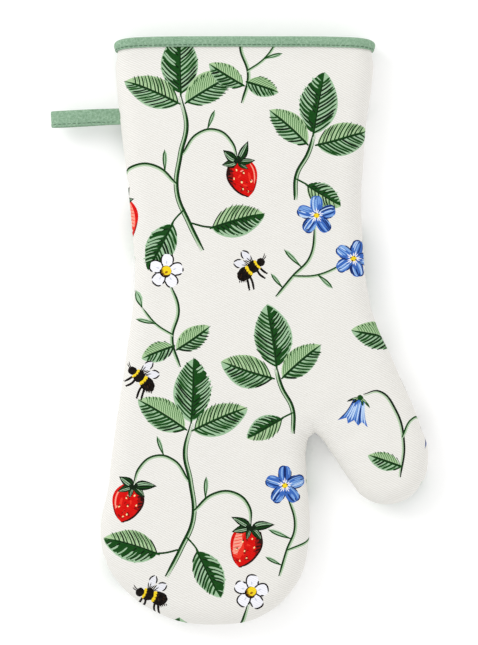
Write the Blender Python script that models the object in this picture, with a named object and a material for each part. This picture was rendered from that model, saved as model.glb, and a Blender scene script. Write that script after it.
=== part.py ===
"""Padded oven mitt, laid flat on its back panel with the cuff toward +Y.

Each side of the mitt is three cloths on top of each other: printed outer
cloth, wadding, lining.  The two sides meet at the middle plane, where they
are sewn together.  The cuff edge is closed by a folded binding tape, and a
tape loop for hanging is sewn to the side seam.  The layers are cut at the
knuckle line and at the root of the thumb so those two parts can turn.
"""
import bpy
import bmesh
from math import radians, tan, cos, sin
from mathutils import Vector, Matrix

MM = 0.001

# ---- overall sizes (mm) ---------------------------------------------------
SHIFT_X = -0.60            # puts the middle of the overall width on X = 0
HALF = 11.6                # half of the overall thickness
CUFF_TOP = 165.0           # upper edge of the binding
FACET = 15.0               # half of the angle between two edge facets (deg)

# ---- cloth thicknesses as distances from the mid line of the edge (mm) ----
OUTER = (11.6, 10.8)
WADDING = (10.5, 7.1)
LINING = (6.8, 6.0)
OUTER_CUFF = (9.9, 9.1)    # same cloths, squeezed under the binding
WADDING_CUFF = (8.8, 7.6)
LINING_CUFF = (7.3, 6.5)
SEAM_GAP = 0.15            # each side of the middle plane
WADDING_GAP = 0.90         # room for the two seam threads

# ---- cuff -----------------------------------------------------------------
CUFF_LEFT, CUFF_RIGHT = -69.7, 77.5
TAPER_LOW, TAPER_HIGH = 148.5, 156.6
CLOTH_TOP = 163.9
BINDING_LOW = 158.0
BINDING_R = (11.0, 5.4)
BINDING_CLOTH = 0.8
BINDING_ROOF = 0.8
STITCH_Y = 159.3
STITCH = 0.15              # half thickness of the top stitching

# ---- seam threads ---------------------------------------------------------
THREAD = 0.25              # half thickness
OUTER_THREAD_R, OUTER_THREAD_CUFF_R = 9.70, 8.55
LINING_THREAD_R, LINING_THREAD_CUFF_R = 7.70, 7.80

PALM_SPLIT_X = 60.0        # crotch stretch of the seam ends before here

# ---- joints ---------------------------------------------------------------
KNUCKLE_Y = -60.0
CROTCH = (43.0, -59.0)
THUMB_DIR = (0.735, 0.678)
CUT_CLEAR = 0.4
CUT_LEAN = 18.5            # lean of each cut face (deg)

# ---- hanging loop ---------------------------------------------------------
LOOP_X0, LOOP_X1 = -68.3, -104.66
LOOP_Y = 120.4
LOOP_WIDE = 8.7
LOOP_HALF_H = 4.6
LOOP_TAPE = 1.0
LOOP_TILT = 2.5            # degrees, seen from above
LOOP_CLEAR = -0.5          # the turning axis, just outside the seam

# ---- outline of the flat mitt, from the left cuff corner round to the right
OUTLINE = [
    (-69.7, 145), (-66.8, 118), (-59.6, 52), (-59.2, 20), (-64.8, -22),
    (-72.8, -82), (-77.0, -121), (-66.5, -142.5), (-42, -160), (-15, -165),
    (13, -161.0), (33.4, -143), (40.8, -121), (40.2, -82), (39.8, -65),
    (40.9, -60.4), (43.0, -58.4), (45.8, -60.6), (50.0, -66.8),
    (62.6, -84.3), (71, -94.2), (84, -97.6), (99.8, -89.5), (106.3, -70),
    (102.0, -53), (87, -16), (75.6, 14), (70.8, 62), (72.0, 105),
    (77.5, 145),
]
OUTLINE_STEPS = 2          # points per stretch between two outline points

for old in list(bpy.data.objects):
    bpy.data.objects.remove(old)
ROOT = bpy.data.collections.new("oven_mitt")
bpy.context.scene.collection.children.link(ROOT)


# ---- materials ------------------------------------------------------------
def material(name, colour, rough):
    m = bpy.data.materials.new(name)
    m.use_nodes = True
    b = m.node_tree.nodes["Principled BSDF"]
    b.inputs["Base Color"].default_value = (*colour, 1.0)
    b.inputs["Roughness"].default_value = rough
    m.diffuse_color = (*colour, 1.0)
    return m


COTTON_CREAM = (0.84, 0.82, 0.77)
LINING_WHITE = (0.80, 0.80, 0.78)
WADDING_WHITE = (0.88, 0.87, 0.84)
SAGE = (0.29, 0.50, 0.33)
DARK_GREEN = (0.06, 0.14, 0.08)
THREAD_CREAM = (0.72, 0.70, 0.64)


# ---- one empty on each joint's axis ---------------------------------------
ANCHORS = {
    "palm": (0.0, 0.0, 0.0),
    "fingers": (0.0, KNUCKLE_Y, HALF),
    "thumb": (CROTCH[0] + SHIFT_X, CROTCH[1], HALF),
    "loop": (LOOP_X0 + LOOP_CLEAR + SHIFT_X, LOOP_Y, HALF),
}
EMPTIES = {}
for body, place in ANCHORS.items():
    EMPTIES[body] = bpy.data.objects.new(body + "_axis", None)
    EMPTIES[body].location = Vector(place) * MM
    ROOT.objects.link(EMPTIES[body])


def to_object(name, body, bm, colour, rough=0.9):
    """Link the mesh as one named sub-part under its body's empty."""
    to_world = Vector((SHIFT_X, 0, HALF)) * MM
    bmesh.ops.translate(bm, vec=to_world - Vector(ANCHORS[body]) * MM,
                        verts=bm.verts)
    bmesh.ops.recalc_face_normals(bm, faces=bm.faces)
    me = bpy.data.meshes.new(name)
    bm.to_mesh(me)
    bm.free()
    ob = bpy.data.objects.new(name, me)
    me.materials.append(material(name + "_mat", colour, rough))
    ob.parent = EMPTIES[body]
    ROOT.objects.link(ob)
    return ob


# ---- outline --------------------------------------------------------------
def outline_mesh():
    cu = bpy.data.curves.new("outline", "CURVE")
    cu.dimensions = "3D"
    cu.resolution_u = OUTLINE_STEPS
    sp = cu.splines.new("BEZIER")
    sp.bezier_points.add(len(OUTLINE) - 1)
    for p, (x, y) in zip(sp.bezier_points, OUTLINE):
        p.co = (x * MM, y * MM, 0)
        p.handle_left_type = p.handle_right_type = "AUTO"
    ob = bpy.data.objects.new("outline", cu)
    ROOT.objects.link(ob)
    bpy.context.view_layer.update()
    me = bpy.data.meshes.new_from_object(ob)
    bpy.data.objects.remove(ob)
    bpy.data.curves.remove(cu)
    return me


OUTLINE_MESH = outline_mesh()
BEYOND = 40.0              # the outline runs on past the cuff and is cut there


def outline_face(z):
    """The flat outline, carried on past the cuff, as one face at height z."""
    bm = bmesh.new()
    bm.from_mesh(OUTLINE_MESH)
    ends = sorted((v for v in bm.verts if len(v.link_edges) == 1),
                  key=lambda v: v.co.x)
    left = bm.verts.new((ends[0].co.x, (145 + BEYOND) * MM, 0))
    right = bm.verts.new((ends[1].co.x, (145 + BEYOND) * MM, 0))
    bm.edges.new((ends[0], left))
    bm.edges.new((left, right))
    bm.edges.new((right, ends[1]))
    bmesh.ops.contextual_create(bm, geom=bm.edges[:])
    for f in bm.faces:
        f.normal_update()
        if f.normal.z < 0:
            f.normal_flip()
    bmesh.ops.translate(bm, vec=(0, 0, z * MM), verts=bm.verts)
    return bm


def first_face(bm):
    bm.faces.ensure_lookup_table()
    return bm.faces[0]


def face_up_y(bm):
    f = first_face(bm)
    f.normal_update()
    if f.normal.y < 0:
        f.normal_flip()


def step_in(bm, face, thick, up=0.0):
    r = bmesh.ops.inset_region(bm, faces=[face], thickness=thick * MM,
                               depth=up * MM, use_boundary=True,
                               use_even_offset=True)
    return r["faces"]


def raise_face(bm, face, up):
    """Extrude one face straight up or down; returns the moved face."""
    r = bmesh.ops.extrude_discrete_faces(bm, faces=[face])
    new = r["faces"][0]
    bmesh.ops.translate(bm, vec=(0, 0, up * MM), verts=new.verts)
    return new


def facets(radius):
    """Steps (inward, upward) along an edge rounded with three facets."""
    a = radians(FACET)
    pts = [(radius / cos(a) * cos(k * 2 * a + a),
            radius / cos(a) * sin(k * 2 * a + a)) for k in range(3)]
    return [(pts[k][0] - pts[k + 1][0], pts[k + 1][1] - pts[k][1])
            for k in range(2)]


def panel(radii, gap):
    """One closed cloth of the upper side: rounded edge, flat middle."""
    r_out, r_in = radii
    a = tan(radians(FACET))
    bm = outline_face(gap)
    f = first_face(bm)
    if HALF - r_out > 1e-6:
        ring = step_in(bm, f, HALF - r_out)
        bmesh.ops.delete(bm, geom=ring, context="FACES")
        f = first_face(bm)
    r = bmesh.ops.extrude_face_region(bm, geom=[f])
    top = [g for g in r["geom"] if isinstance(g, bmesh.types.BMFace)][0]
    bmesh.ops.translate(bm, vec=(0, 0, (r_out * a - gap) * MM),
                        verts=top.verts)
    bmesh.ops.recalc_face_normals(bm, faces=bm.faces)
    top = max((g for g in bm.faces), key=lambda g: g.calc_center_median().z)
    for inward, up in facets(r_out):
        step_in(bm, top, inward, up)
    low = min((g for g in bm.faces), key=lambda g: g.calc_center_median().z)
    step_in(bm, low, r_out - r_in)
    low = raise_face(bm, low, r_in * a - gap)
    for inward, up in facets(r_in):
        step_in(bm, low, inward, -up)
    bmesh.ops.recalc_face_normals(bm, faces=bm.faces)
    return bm


def thread(radius):
    """A thin square ring that follows the seam at the middle plane."""
    bm = outline_face(-THREAD)
    ring = step_in(bm, first_face(bm), HALF - radius - THREAD)
    bmesh.ops.delete(bm, geom=ring, context="FACES")
    f = first_face(bm)
    ring = step_in(bm, f, 2 * THREAD)
    bmesh.ops.delete(bm, geom=[f], context="FACES")
    r = bmesh.ops.extrude_face_region(bm, geom=bm.faces[:])
    bmesh.ops.translate(bm, vec=(0, 0, 2 * THREAD * MM), verts=[
        v for v in r["geom"] if isinstance(v, bmesh.types.BMVert)])
    bmesh.ops.recalc_face_normals(bm, faces=bm.faces)
    return bm


# ---- cutting --------------------------------------------------------------
def cut(bm, point, normal):
    """Remove what lies on the side the normal points to, and close it."""
    bmesh.ops.bisect_plane(bm, geom=bm.verts[:] + bm.edges[:] + bm.faces[:],
                           dist=1e-8, plane_co=Vector(point) * MM,
                           plane_no=Vector(normal), clear_outer=True)
    rim = [e for e in bm.edges if e.is_boundary]
    if rim:
        bmesh.ops.edgeloop_fill(bm, edges=rim)
    bmesh.ops.recalc_face_normals(bm, faces=bm.faces)


def score(bm, y):
    bmesh.ops.bisect_plane(bm, geom=bm.verts[:] + bm.edges[:] + bm.faces[:],
                           dist=1e-8, plane_co=(0, y * MM, 0),
                           plane_no=(0, 1, 0))


def squeeze(bm, radii, cuff_radii):
    """Bring the cloth to its thinner section under the binding."""
    score(bm, TAPER_LOW)
    score(bm, TAPER_HIGH)
    split = (radii[1] / cos(radians(FACET))) * 1.004
    for v in bm.verts:
        y = v.co.y / MM
        if y < TAPER_HIGH - 0.01:
            continue
        x, z = v.co.x / MM, v.co.z / MM
        mid = CUFF_LEFT + HALF if x < 0 else CUFF_RIGHT - HALF
        dist = ((x - mid) ** 2 + z * z) ** 0.5
        k = (cuff_radii[0] / radii[0]) if dist > split else \
            (cuff_radii[1] / radii[1])
        v.co.x = (mid + (x - mid) * k) * MM
        if abs(z) > WADDING_GAP + 0.01:
            v.co.z = z * k * MM


LEAN = tan(radians(CUT_LEAN))
TN = Vector((THUMB_DIR[1], -THUMB_DIR[0], 0)).normalized()


def keep_palm(bm, side):
    """side +1 upper half, -1 lower half, 0 a thread in the middle plane."""
    lean = LEAN * side
    cut(bm, (0, KNUCKLE_Y + CUT_CLEAR, 0), Vector((0, -1, lean)))
    p = Vector((*CROTCH, 0)) - TN * CUT_CLEAR
    cut(bm, p, TN + Vector((0, 0, lean)))


def keep_fingers(bm, side):
    lean = LEAN * side
    cut(bm, (0, KNUCKLE_Y - CUT_CLEAR, 0), Vector((0, 1, lean)))
    cut(bm, (CROTCH[0] - 2 * CUT_CLEAR, 0, 0), (1, 0, 0))


def keep_thumb(bm, side):
    lean = LEAN * side
    p = Vector((*CROTCH, 0)) + TN * CUT_CLEAR
    cut(bm, p, -TN + Vector((0, 0, lean)))
    cut(bm, (CROTCH[0] + CUT_CLEAR / 2, 0, 0), (-1, 0, 0))


SECTIONS = {"palm": keep_palm, "fingers": keep_fingers, "thumb": keep_thumb}

# ---- the six cloths of each body ------------------------------------------
CLOTHS = [
    ("outer", OUTER, OUTER_CUFF, SEAM_GAP, COTTON_CREAM),
    ("wadding", WADDING, WADDING_CUFF, WADDING_GAP, WADDING_WHITE),
    ("lining", LINING, LINING_CUFF, SEAM_GAP, LINING_WHITE),
]
for cloth, radii, cuff_radii, gap, colour in CLOTHS:
    whole = panel(radii, gap)
    squeeze(whole, radii, cuff_radii)
    cut(whole, (0, CLOTH_TOP, 0), (0, 1, 0))
    for side_name, side in (("front", 1), ("back", -1)):
        for section, keep in SECTIONS.items():
            bm = whole.copy()
            if side < 0:
                bmesh.ops.scale(bm, vec=(1, 1, -1), verts=bm.verts)
                bmesh.ops.recalc_face_normals(bm, faces=bm.faces)
            keep(bm, side)
            to_object(f"{cloth}_{side_name}_{section}", section, bm, colour)
    whole.free()

# ---- seam threads ---------------------------------------------------------
for name, radius, cuff_radius in (
        ("outer_seam_thread", OUTER_THREAD_R, OUTER_THREAD_CUFF_R),
        ("lining_seam_thread", LINING_THREAD_R, LINING_THREAD_CUFF_R)):
    whole = thread(radius)
    score(whole, TAPER_LOW)
    score(whole, TAPER_HIGH)
    for v in whole.verts:
        if v.co.y / MM > TAPER_HIGH - 0.01:
            move = radius - cuff_radius
            v.co.x += (move if v.co.x < 0 else -move) * MM
    cut(whole, (0, CLOTH_TOP, 0), (0, 1, 0))
    for section, low_x, high_x in (
            ("palm_left", None, 0), ("palm_crotch", 0, PALM_SPLIT_X),
            ("palm_right", PALM_SPLIT_X, None),
            ("fingers", None, None), ("thumb", None, None)):
        bm = whole.copy()
        body = section.split("_")[0]
        SECTIONS[body](bm, 0)
        if low_x is not None:
            cut(bm, (low_x, 0, 0), (-1, 0, 0))
        if high_x is not None:
            cut(bm, (high_x, 0, 0), (1, 0, 0))
        to_object(f"{name}_{section}", body, bm, THREAD_CREAM)
    whole.free()


# ---- cuff binding and its stitching ---------------------------------------
def cuff_ring(radius, y):
    """Closed outline of the cuff section as one face looking up +Y."""
    bm = bmesh.new()
    bmesh.ops.create_circle(bm, cap_ends=True, segments=12,
                            radius=radius / cos(radians(FACET)) * MM)
    bmesh.ops.rotate(bm, verts=bm.verts, cent=(0, 0, 0),
                     matrix=Matrix.Rotation(radians(FACET), 3, "Z"))
    bmesh.ops.rotate(bm, verts=bm.verts, cent=(0, 0, 0),
                     matrix=Matrix.Rotation(radians(-90), 3, "X"))
    for v in bm.verts:
        v.co.x += (CUFF_LEFT + HALF if v.co.x < 0
                   else CUFF_RIGHT - HALF) * MM
        v.co.y = y * MM
    face_up_y(bm)
    return bm


def push(bm, face, dy):
    r = bmesh.ops.extrude_discrete_faces(bm, faces=[face])
    new = r["faces"][0]
    bmesh.ops.translate(bm, vec=(0, dy * MM, 0), verts=new.verts)
    return new


def tube(bm, face, height, wall):
    """Turn the face into a ring of the given height (down) and wall."""
    r = bmesh.ops.extrude_face_region(bm, geom=[face])
    low = [g for g in r["geom"] if isinstance(g, bmesh.types.BMFace)][0]
    bmesh.ops.translate(bm, vec=(0, -height * MM, 0), verts=low.verts)
    bmesh.ops.recalc_face_normals(bm, faces=bm.faces)
    ends = [g for g in bm.faces if len(g.verts) > 8]
    for g in ends:
        step_in(bm, g, wall)
    loops = [e for g in ends for e in g.edges]
    bmesh.ops.delete(bm, geom=ends, context="FACES_ONLY")
    bmesh.ops.bridge_loops(bm, edges=loops)
    bmesh.ops.recalc_face_normals(bm, faces=bm.faces)


r_out, r_in = BINDING_R
bm = cuff_ring(r_out, CUFF_TOP)
r = bmesh.ops.extrude_face_region(bm, geom=[first_face(bm)])
low = [g for g in r["geom"] if isinstance(g, bmesh.types.BMFace)][0]
bmesh.ops.translate(bm, vec=(0, (BINDING_LOW - CUFF_TOP) * MM, 0),
                    verts=low.verts)
bmesh.ops.recalc_face_normals(bm, faces=bm.faces)
ends = sorted((g for g in bm.faces if len(g.verts) > 8),
              key=lambda g: g.calc_center_median().y)
low, top = ends
step_in(bm, low, BINDING_CLOTH)
low = push(bm, low, CUFF_TOP - BINDING_ROOF - BINDING_LOW)
step_in(bm, low, r_out - r_in - 2 * BINDING_CLOTH)
low = push(bm, low, -(CUFF_TOP - BINDING_ROOF - BINDING_LOW))
step_in(bm, low, BINDING_CLOTH)
step_in(bm, top, r_out - r_in)
loops = [e for g in (low, top) for e in g.edges]
bmesh.ops.delete(bm, geom=[low, top], context="FACES_ONLY")
bmesh.ops.bridge_loops(bm, edges=loops)
to_object("cuff_binding", "palm", bm, SAGE)

for name, radius in (("binding_stitch_outside", r_out + 0.3 + 2 * STITCH),
                     ("binding_stitch_inside", r_in - 0.3)):
    bm = cuff_ring(radius, STITCH_Y + STITCH)
    tube(bm, first_face(bm), 2 * STITCH, 2 * STITCH)
    to_object(name, "palm", bm, DARK_GREEN)


# ---- hanging loop ---------------------------------------------------------
def loop_band(grow, wide, wall, y):
    """Tape bent into a drop: narrow at the seam, round at the free end."""
    bm = bmesh.new()
    bmesh.ops.create_circle(bm, cap_ends=True, segments=20, radius=1.0)
    length = (LOOP_X0 - LOOP_X1) / 2
    for v in bm.verts:
        c, s = v.co.x, v.co.y
        half = LOOP_HALF_H * (0.74 - 0.26 * c)
        v.co.x = ((LOOP_X0 + LOOP_X1) / 2 + length * c
                  + (grow * c)) * MM
        v.co.z = (half + grow) * (1 if s >= 0 else -1) \
            * min(1.0, abs(s) ** 0.55) * MM
        v.co.y = (y + wide / 2) * MM
    face_up_y(bm)
    tube(bm, first_face(bm), wide, wall)
    bmesh.ops.rotate(bm, verts=bm.verts,
                     cent=(LOOP_X0 * MM, LOOP_Y * MM, 0),
                     matrix=Matrix.Rotation(radians(LOOP_TILT), 3, "Z"))
    return bm


to_object("hanging_loop", "loop",
          loop_band(0.0, LOOP_WIDE, LOOP_TAPE, LOOP_Y), SAGE)
to_object("loop_stitch", "loop",
          loop_band(0.6, 0.3, 0.3, LOOP_Y - 3.0), DARK_GREEN)

bpy.data.meshes.remove(OUTLINE_MESH)
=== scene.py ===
"""Oven mitt, the looks: printed cotton panels, wadding, lining, binding, loop.

Plan positions are in millimetres, with the cuff toward +Y and the thumb
toward +X, as in the CAD model.  Every cloth is made from one shape: a plan
point, a side (+1 front, -1 back) and a depth under the outer face.
"""
from math import atan2, ceil, cos, pi, radians, sin

import bpy
import numpy as np
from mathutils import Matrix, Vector, geometry


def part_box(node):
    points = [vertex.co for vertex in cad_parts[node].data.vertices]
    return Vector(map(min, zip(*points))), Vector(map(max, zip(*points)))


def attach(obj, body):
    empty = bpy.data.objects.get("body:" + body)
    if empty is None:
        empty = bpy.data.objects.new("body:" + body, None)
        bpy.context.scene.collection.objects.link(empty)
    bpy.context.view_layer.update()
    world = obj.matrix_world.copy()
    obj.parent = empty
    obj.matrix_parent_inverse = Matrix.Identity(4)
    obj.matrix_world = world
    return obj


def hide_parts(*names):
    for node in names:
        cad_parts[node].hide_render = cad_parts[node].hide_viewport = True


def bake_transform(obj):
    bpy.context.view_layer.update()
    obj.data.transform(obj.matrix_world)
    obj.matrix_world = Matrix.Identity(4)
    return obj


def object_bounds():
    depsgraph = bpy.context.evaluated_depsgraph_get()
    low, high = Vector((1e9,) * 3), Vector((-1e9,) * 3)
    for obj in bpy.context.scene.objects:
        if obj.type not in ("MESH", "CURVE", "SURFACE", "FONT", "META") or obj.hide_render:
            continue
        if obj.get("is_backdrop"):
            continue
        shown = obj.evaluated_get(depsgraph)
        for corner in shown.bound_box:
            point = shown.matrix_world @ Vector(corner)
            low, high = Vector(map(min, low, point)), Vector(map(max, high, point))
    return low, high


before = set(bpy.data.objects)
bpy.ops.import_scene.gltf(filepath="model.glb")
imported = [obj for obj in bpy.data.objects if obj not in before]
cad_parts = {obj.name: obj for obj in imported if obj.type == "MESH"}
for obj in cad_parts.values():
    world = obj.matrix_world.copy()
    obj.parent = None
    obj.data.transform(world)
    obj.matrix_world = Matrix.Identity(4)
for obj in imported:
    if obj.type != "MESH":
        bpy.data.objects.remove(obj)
CAD_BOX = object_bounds()

MM = 0.001
SHIFT_X = -0.60            # from the outline's frame to the CAD model's
FRONT_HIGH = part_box("outer_front_palm")[1]
BACK_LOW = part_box("outer_back_palm")[0]
MID_Z = (FRONT_HIGH[2] + BACK_LOW[2]) / 2 / MM
HALF = (FRONT_HIGH[2] - BACK_LOW[2]) / 2 / MM

# ---- outline of the flat mitt ---------------------------------------------
OUTLINE = [
    (-70.6, 180), (-69.4, 150), (-66.8, 118), (-59.6, 52), (-59.2, 20),
    (-64.8, -22), (-72.8, -82), (-77.0, -121), (-66.5, -142.5), (-42, -160),
    (-15, -165), (13, -161.0), (33.4, -143), (40.8, -121), (40.2, -82),
    (39.8, -65), (40.9, -60.4), (43.0, -58.4), (45.8, -60.6), (50.0, -66.8),
    (62.6, -84.3), (71, -94.2), (84.5, -98.0), (101.2, -89.9), (108.0, -70),
    (103.6, -53), (88, -16), (75.8, 14), (70.8, 62), (72.0, 105),
    (77.0, 148), (79.0, 180),
]
CROTCH = (43.0, -58.4)
# where the thumb's cloth is told apart from the hand's
THUMB_LINE = [(43.0, -58.4), (47.5, -38), (58.0, -12), (75.6, 14)]
EDGE_R = 12.0              # width of the rounded edge, seen from above
ARC_EXTRA = pi / 2 - 1
SEAM_DIP = 0.8             # the seam lies this deep between the two sides
SEAM_SOFT = 1.7            # and the dip fades over this distance
HANDLE = 2.5614            # the usual length of a smooth curve's handles


def unit(v):
    """Rows of v scaled to length 1."""
    return v / np.linalg.norm(v, axis=-1, keepdims=True)


def left_of(t):
    """Plan directions turned a quarter anticlockwise."""
    return np.stack([-t[:, 1], t[:, 0]], axis=1)


def level(x, y):
    """Plan points at one height."""
    return np.stack([x, np.full(len(x), y)], axis=1)


def crossed(u, v):
    """Every pair of one value of u and one of v, as a grid of points."""
    return np.stack(np.meshgrid(u, v, indexing="ij"), axis=2)


def run_along(points):
    """Length run along a line at each of its points."""
    step = np.linalg.norm(np.diff(points, axis=0), axis=1)
    return np.concatenate([[0], np.cumsum(step)])


def smooth_line(points, step):
    """Evenly spaced points on a smooth curve through the given points."""
    p = np.array(points, float)
    n = len(p)
    if n == 2:
        m = max(2, int(ceil(np.linalg.norm(p[1] - p[0]) / step)) + 1)
        return p[0] + (p[1] - p[0]) * np.linspace(0, 1, m)[:, None]
    ends = (2 * p[0] - p[1], 2 * p[-1] - p[-2])
    prev = np.concatenate([ends[:1], p[:-1]])
    after = np.concatenate([p[1:], ends[1:]])
    d1 = np.linalg.norm(p - prev, axis=1)[:, None]
    d2 = np.linalg.norm(after - p, axis=1)[:, None]
    t = (after - p) / d2 + (p - prev) / d1
    size = np.linalg.norm(t, axis=1)[:, None] * HANDLE
    left, right = p - t * d1 / size, p + t * d2 / size
    u = np.linspace(0, 1, 25)[:-1, None]
    out = [(1 - u) ** 3 * p[i] + 3 * (1 - u) ** 2 * u * right[i]
           + 3 * (1 - u) * u * u * left[i + 1] + u ** 3 * p[i + 1]
           for i in range(n - 1)]
    out = np.concatenate(out + [p[-1:]])
    run = run_along(out)
    at = np.linspace(0, run[-1], max(2, int(round(run[-1] / step)) + 1))
    return np.stack([np.interp(at, run, out[:, k])
                     for k in range(out.shape[1])], axis=1)


EDGE = smooth_line(OUTLINE, 1.4)
EDGE_RUN = run_along(EDGE)
EDGE_N = unit(left_of(np.gradient(EDGE, axis=0)))     # inward


def from_edge(q):
    """Distance to the outline, inward direction and run along it."""
    a, b = EDGE[:-1], EDGE[1:]
    ab = b - a
    size = (ab ** 2).sum(1)
    r = np.empty(len(q))
    inward = np.empty((len(q), 2))
    run = np.empty(len(q))
    for i in range(0, len(q), 2000):
        p = q[i:i + 2000]
        s = ((p[:, None] - a[None]) * ab[None]).sum(2) / size[None]
        s = np.clip(s, 0, 1)
        gap = p[:, None] - (a[None] + s[..., None] * ab[None])
        d2 = (gap ** 2).sum(2)
        k = d2.argmin(1)
        row = np.arange(len(p))
        dist, st, g = np.sqrt(d2[row, k]), s[row, k], gap[row, k]
        soft = unit(EDGE_N[k] * (1 - st[:, None])
                    + EDGE_N[k + 1] * st[:, None])
        true = g / np.maximum(dist, 1e-6)[:, None]
        far = np.clip((dist - 0.4) / 0.8, 0, 1)[:, None]
        mix = soft * (1 - far) + true * far
        inward[i:i + 2000] = mix / np.maximum(
            np.linalg.norm(mix, axis=1), 1e-6)[:, None]
        r[i:i + 2000] = dist
        run[i:i + 2000] = EDGE_RUN[k] + st * np.sqrt(size[k])
    return r, inward, run


def smooth(x):
    x = np.clip(x, 0, 1)
    return x * x * (3 - 2 * x)


# ---- how far the cloth stands out from its plain shape --------------------
CELL = 1.5                 # the grid these heights are worked out on
GRID_LOW = np.array((-126.0, -189.0))
GRID_SIZE = (170, 256)


def blur(field, sigma):
    """Gaussian blur of a field on the grid; sigma in millimetres."""
    s = sigma / CELL
    half = int(3 * s) + 1
    k = np.exp(-0.5 * (np.arange(-half, half + 1) / s) ** 2)
    k /= k.sum()
    for axis in (0, 1):
        pad = [(half, half) if a == axis else (0, 0) for a in (0, 1)]
        field = np.apply_along_axis(
            lambda v: np.convolve(v, k, mode="valid"), axis,
            np.pad(field, pad, mode="edge"))
    return field


def near_line(points, p, q, width):
    """1 on the segment p-q, falling off smoothly across it."""
    p, q = np.array(p, float), np.array(q, float)
    s = np.clip(((points - p) @ (q - p)) / ((q - p) @ (q - p)), 0, 1)
    d = np.linalg.norm(points - (p + s[..., None] * (q - p)), axis=-1)
    fade = smooth(1.0 - abs(2 * s - 1) ** 3)
    return np.exp(-(d / width) ** 2) * (0.25 + 0.75 * fade)


GRID = crossed(*(low + CELL * np.arange(n)
                 for low, n in zip(GRID_LOW, GRID_SIZE)))
GRID_R, GRID_RUN = (v.reshape(GRID_SIZE)
                    for v in from_edge(GRID.reshape(-1, 2))[::2])

# soft folds: (start, end, width, depth); plus is a valley
FOLDS_FRONT = [
    ((38, -56), (8, -47), 5.0, 1.1), ((40, -66), (14, -72), 5.5, 0.7),
    ((38, -48), (22, -30), 5.0, 0.5), ((50, -64), (72, -56), 4.2, 0.9),
    ((46, -54), (64, -36), 4.6, 0.8), ((57, -72), (76, -72), 4.0, 0.5),
    ((-58, 40), (-26, 47), 6.0, 0.7), ((-58, 22), (-30, 14), 6.0, 0.6),
    ((70, 60), (44, 66), 6.0, 0.6), ((70, 36), (48, 28), 6.0, 0.6),
    ((-62, 128), (-30, 121), 6.0, 0.45), ((70, 130), (46, 120), 6.0, 0.5),
    ((-20, 155), (-16, 132), 5.0, 0.4), ((34, 155), (30, 136), 5.0, 0.4),
]
FOLDS_BACK = [
    ((38, -56), (4, -50), 5.0, 1.0), ((50, -62), (74, -50), 4.2, 0.8),
    ((-58, 34), (-20, 38), 6.0, 0.7), ((70, 50), (36, 54), 6.0, 0.7),
    ((-30, -120), (6, -112), 7.0, 0.5), ((10, 155), (4, 128), 5.0, 0.4),
]


CROWN, CROWN_WIDE = 3.0, 26.0      # how far a side domes, and over how much
LUMPS = ((15.0, 0.34), (6.0, 0.16))     # size and height of loose lumps
PUCKER_STEP, PUCKER_DEEP = 6.2, 6.5     # along the seam and in from it
PUCKER = 0.30              # their height; it grows at the crotch and the tip
CROTCH_PUCKER, CROTCH_NEAR = 0.5, 24
TIP_PUCKER, TIP_FROM, TIP_OVER = 0.20, -105, 30
BOUND_FLAT, BOUND_LOW, BOUND_OVER = 0.75, 128, 34    # held by the binding
CLING = 5.0                # the sides meet in the middle this near the seam
FLAT_LEVEL, FLAT_SOFT = 2.6, 0.45       # where the back meets the table


def relief(side):
    """Height of one side over its plain shape, on the grid."""
    rng = np.random.RandomState(11 if side > 0 else 23)

    def uneven(size):
        field = blur(rng.standard_normal(GRID_SIZE), size)
        return field / field.std()

    crown = CROWN * (1 - np.exp(-(GRID_R / CROWN_WIDE) ** 1.5))
    out = blur(crown, 5.0)
    for size, height in LUMPS:
        out = out + height * uneven(size)
    for p, q, width, depth in FOLDS_FRONT if side > 0 else FOLDS_BACK:
        out -= depth * near_line(GRID, p, q, width)
    # puckers along the seam, where the cloth is eased round the curves
    phase = (GRID_RUN / PUCKER_STEP + 1.1 * np.sin(GRID_RUN / 23.0 + side)
             + uneven(10.0))
    to_crotch = np.linalg.norm(GRID - np.array(CROTCH), axis=2)
    much = PUCKER + CROTCH_PUCKER * np.exp(-(to_crotch / CROTCH_NEAR) ** 2)
    much += TIP_PUCKER * smooth((TIP_FROM - GRID[..., 1]) / TIP_OVER)
    out -= (much * (0.5 + 0.5 * np.cos(phase))
            * np.exp(-GRID_R / PUCKER_DEEP))
    # the cuff end is held flatter by its binding
    out *= 1 - BOUND_FLAT * smooth((GRID[..., 1] - BOUND_LOW) / BOUND_OVER)
    if side < 0:           # the back rests on the table
        out = (-FLAT_SOFT * np.log1p(np.exp((FLAT_LEVEL - out) / FLAT_SOFT))
               * smooth(GRID_R / 9.0 + 0.35))
    return blur(out, 1.6)


RELIEF = {1: relief(1), -1: relief(-1)}
RELIEF_SLOPE = {s: np.stack(np.gradient(RELIEF[s], CELL), axis=2)
                for s in (1, -1)}


def sample(field, q):
    g = (q - GRID_LOW) / CELL
    g = np.clip(g, 0, np.array(GRID_SIZE) - 1.001)
    i = g.astype(int)
    f = g - i
    if field.ndim == 3:
        f = f[..., None]
    fx, fy = f[:, 0], f[:, 1]
    x, y = i[:, 0], i[:, 1]
    return ((1 - fx) * (1 - fy) * field[x, y] + fx * (1 - fy) * field[x + 1, y]
            + (1 - fx) * fy * field[x, y + 1] + fx * fy * field[x + 1, y + 1])


# ---- from plan to space ---------------------------------------------------
CUFF_MID, CUFF_HALF_W = 4.0, 73.9
SAG = ((1.1, 4), (1.6, 14))     # depth at the cuff's ends, and its power
SAG_FROM, SAG_OVER = 110, 50


def cuff_sag(q):
    """The cuff's ends lie a little lower than its middle."""
    s = abs((q[:, 0] - CUFF_MID) / CUFF_HALF_W)
    return (-sum(deep * s ** power for deep, power in SAG)
            * smooth((q[:, 1] - SAG_FROM) / SAG_OVER))


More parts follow.
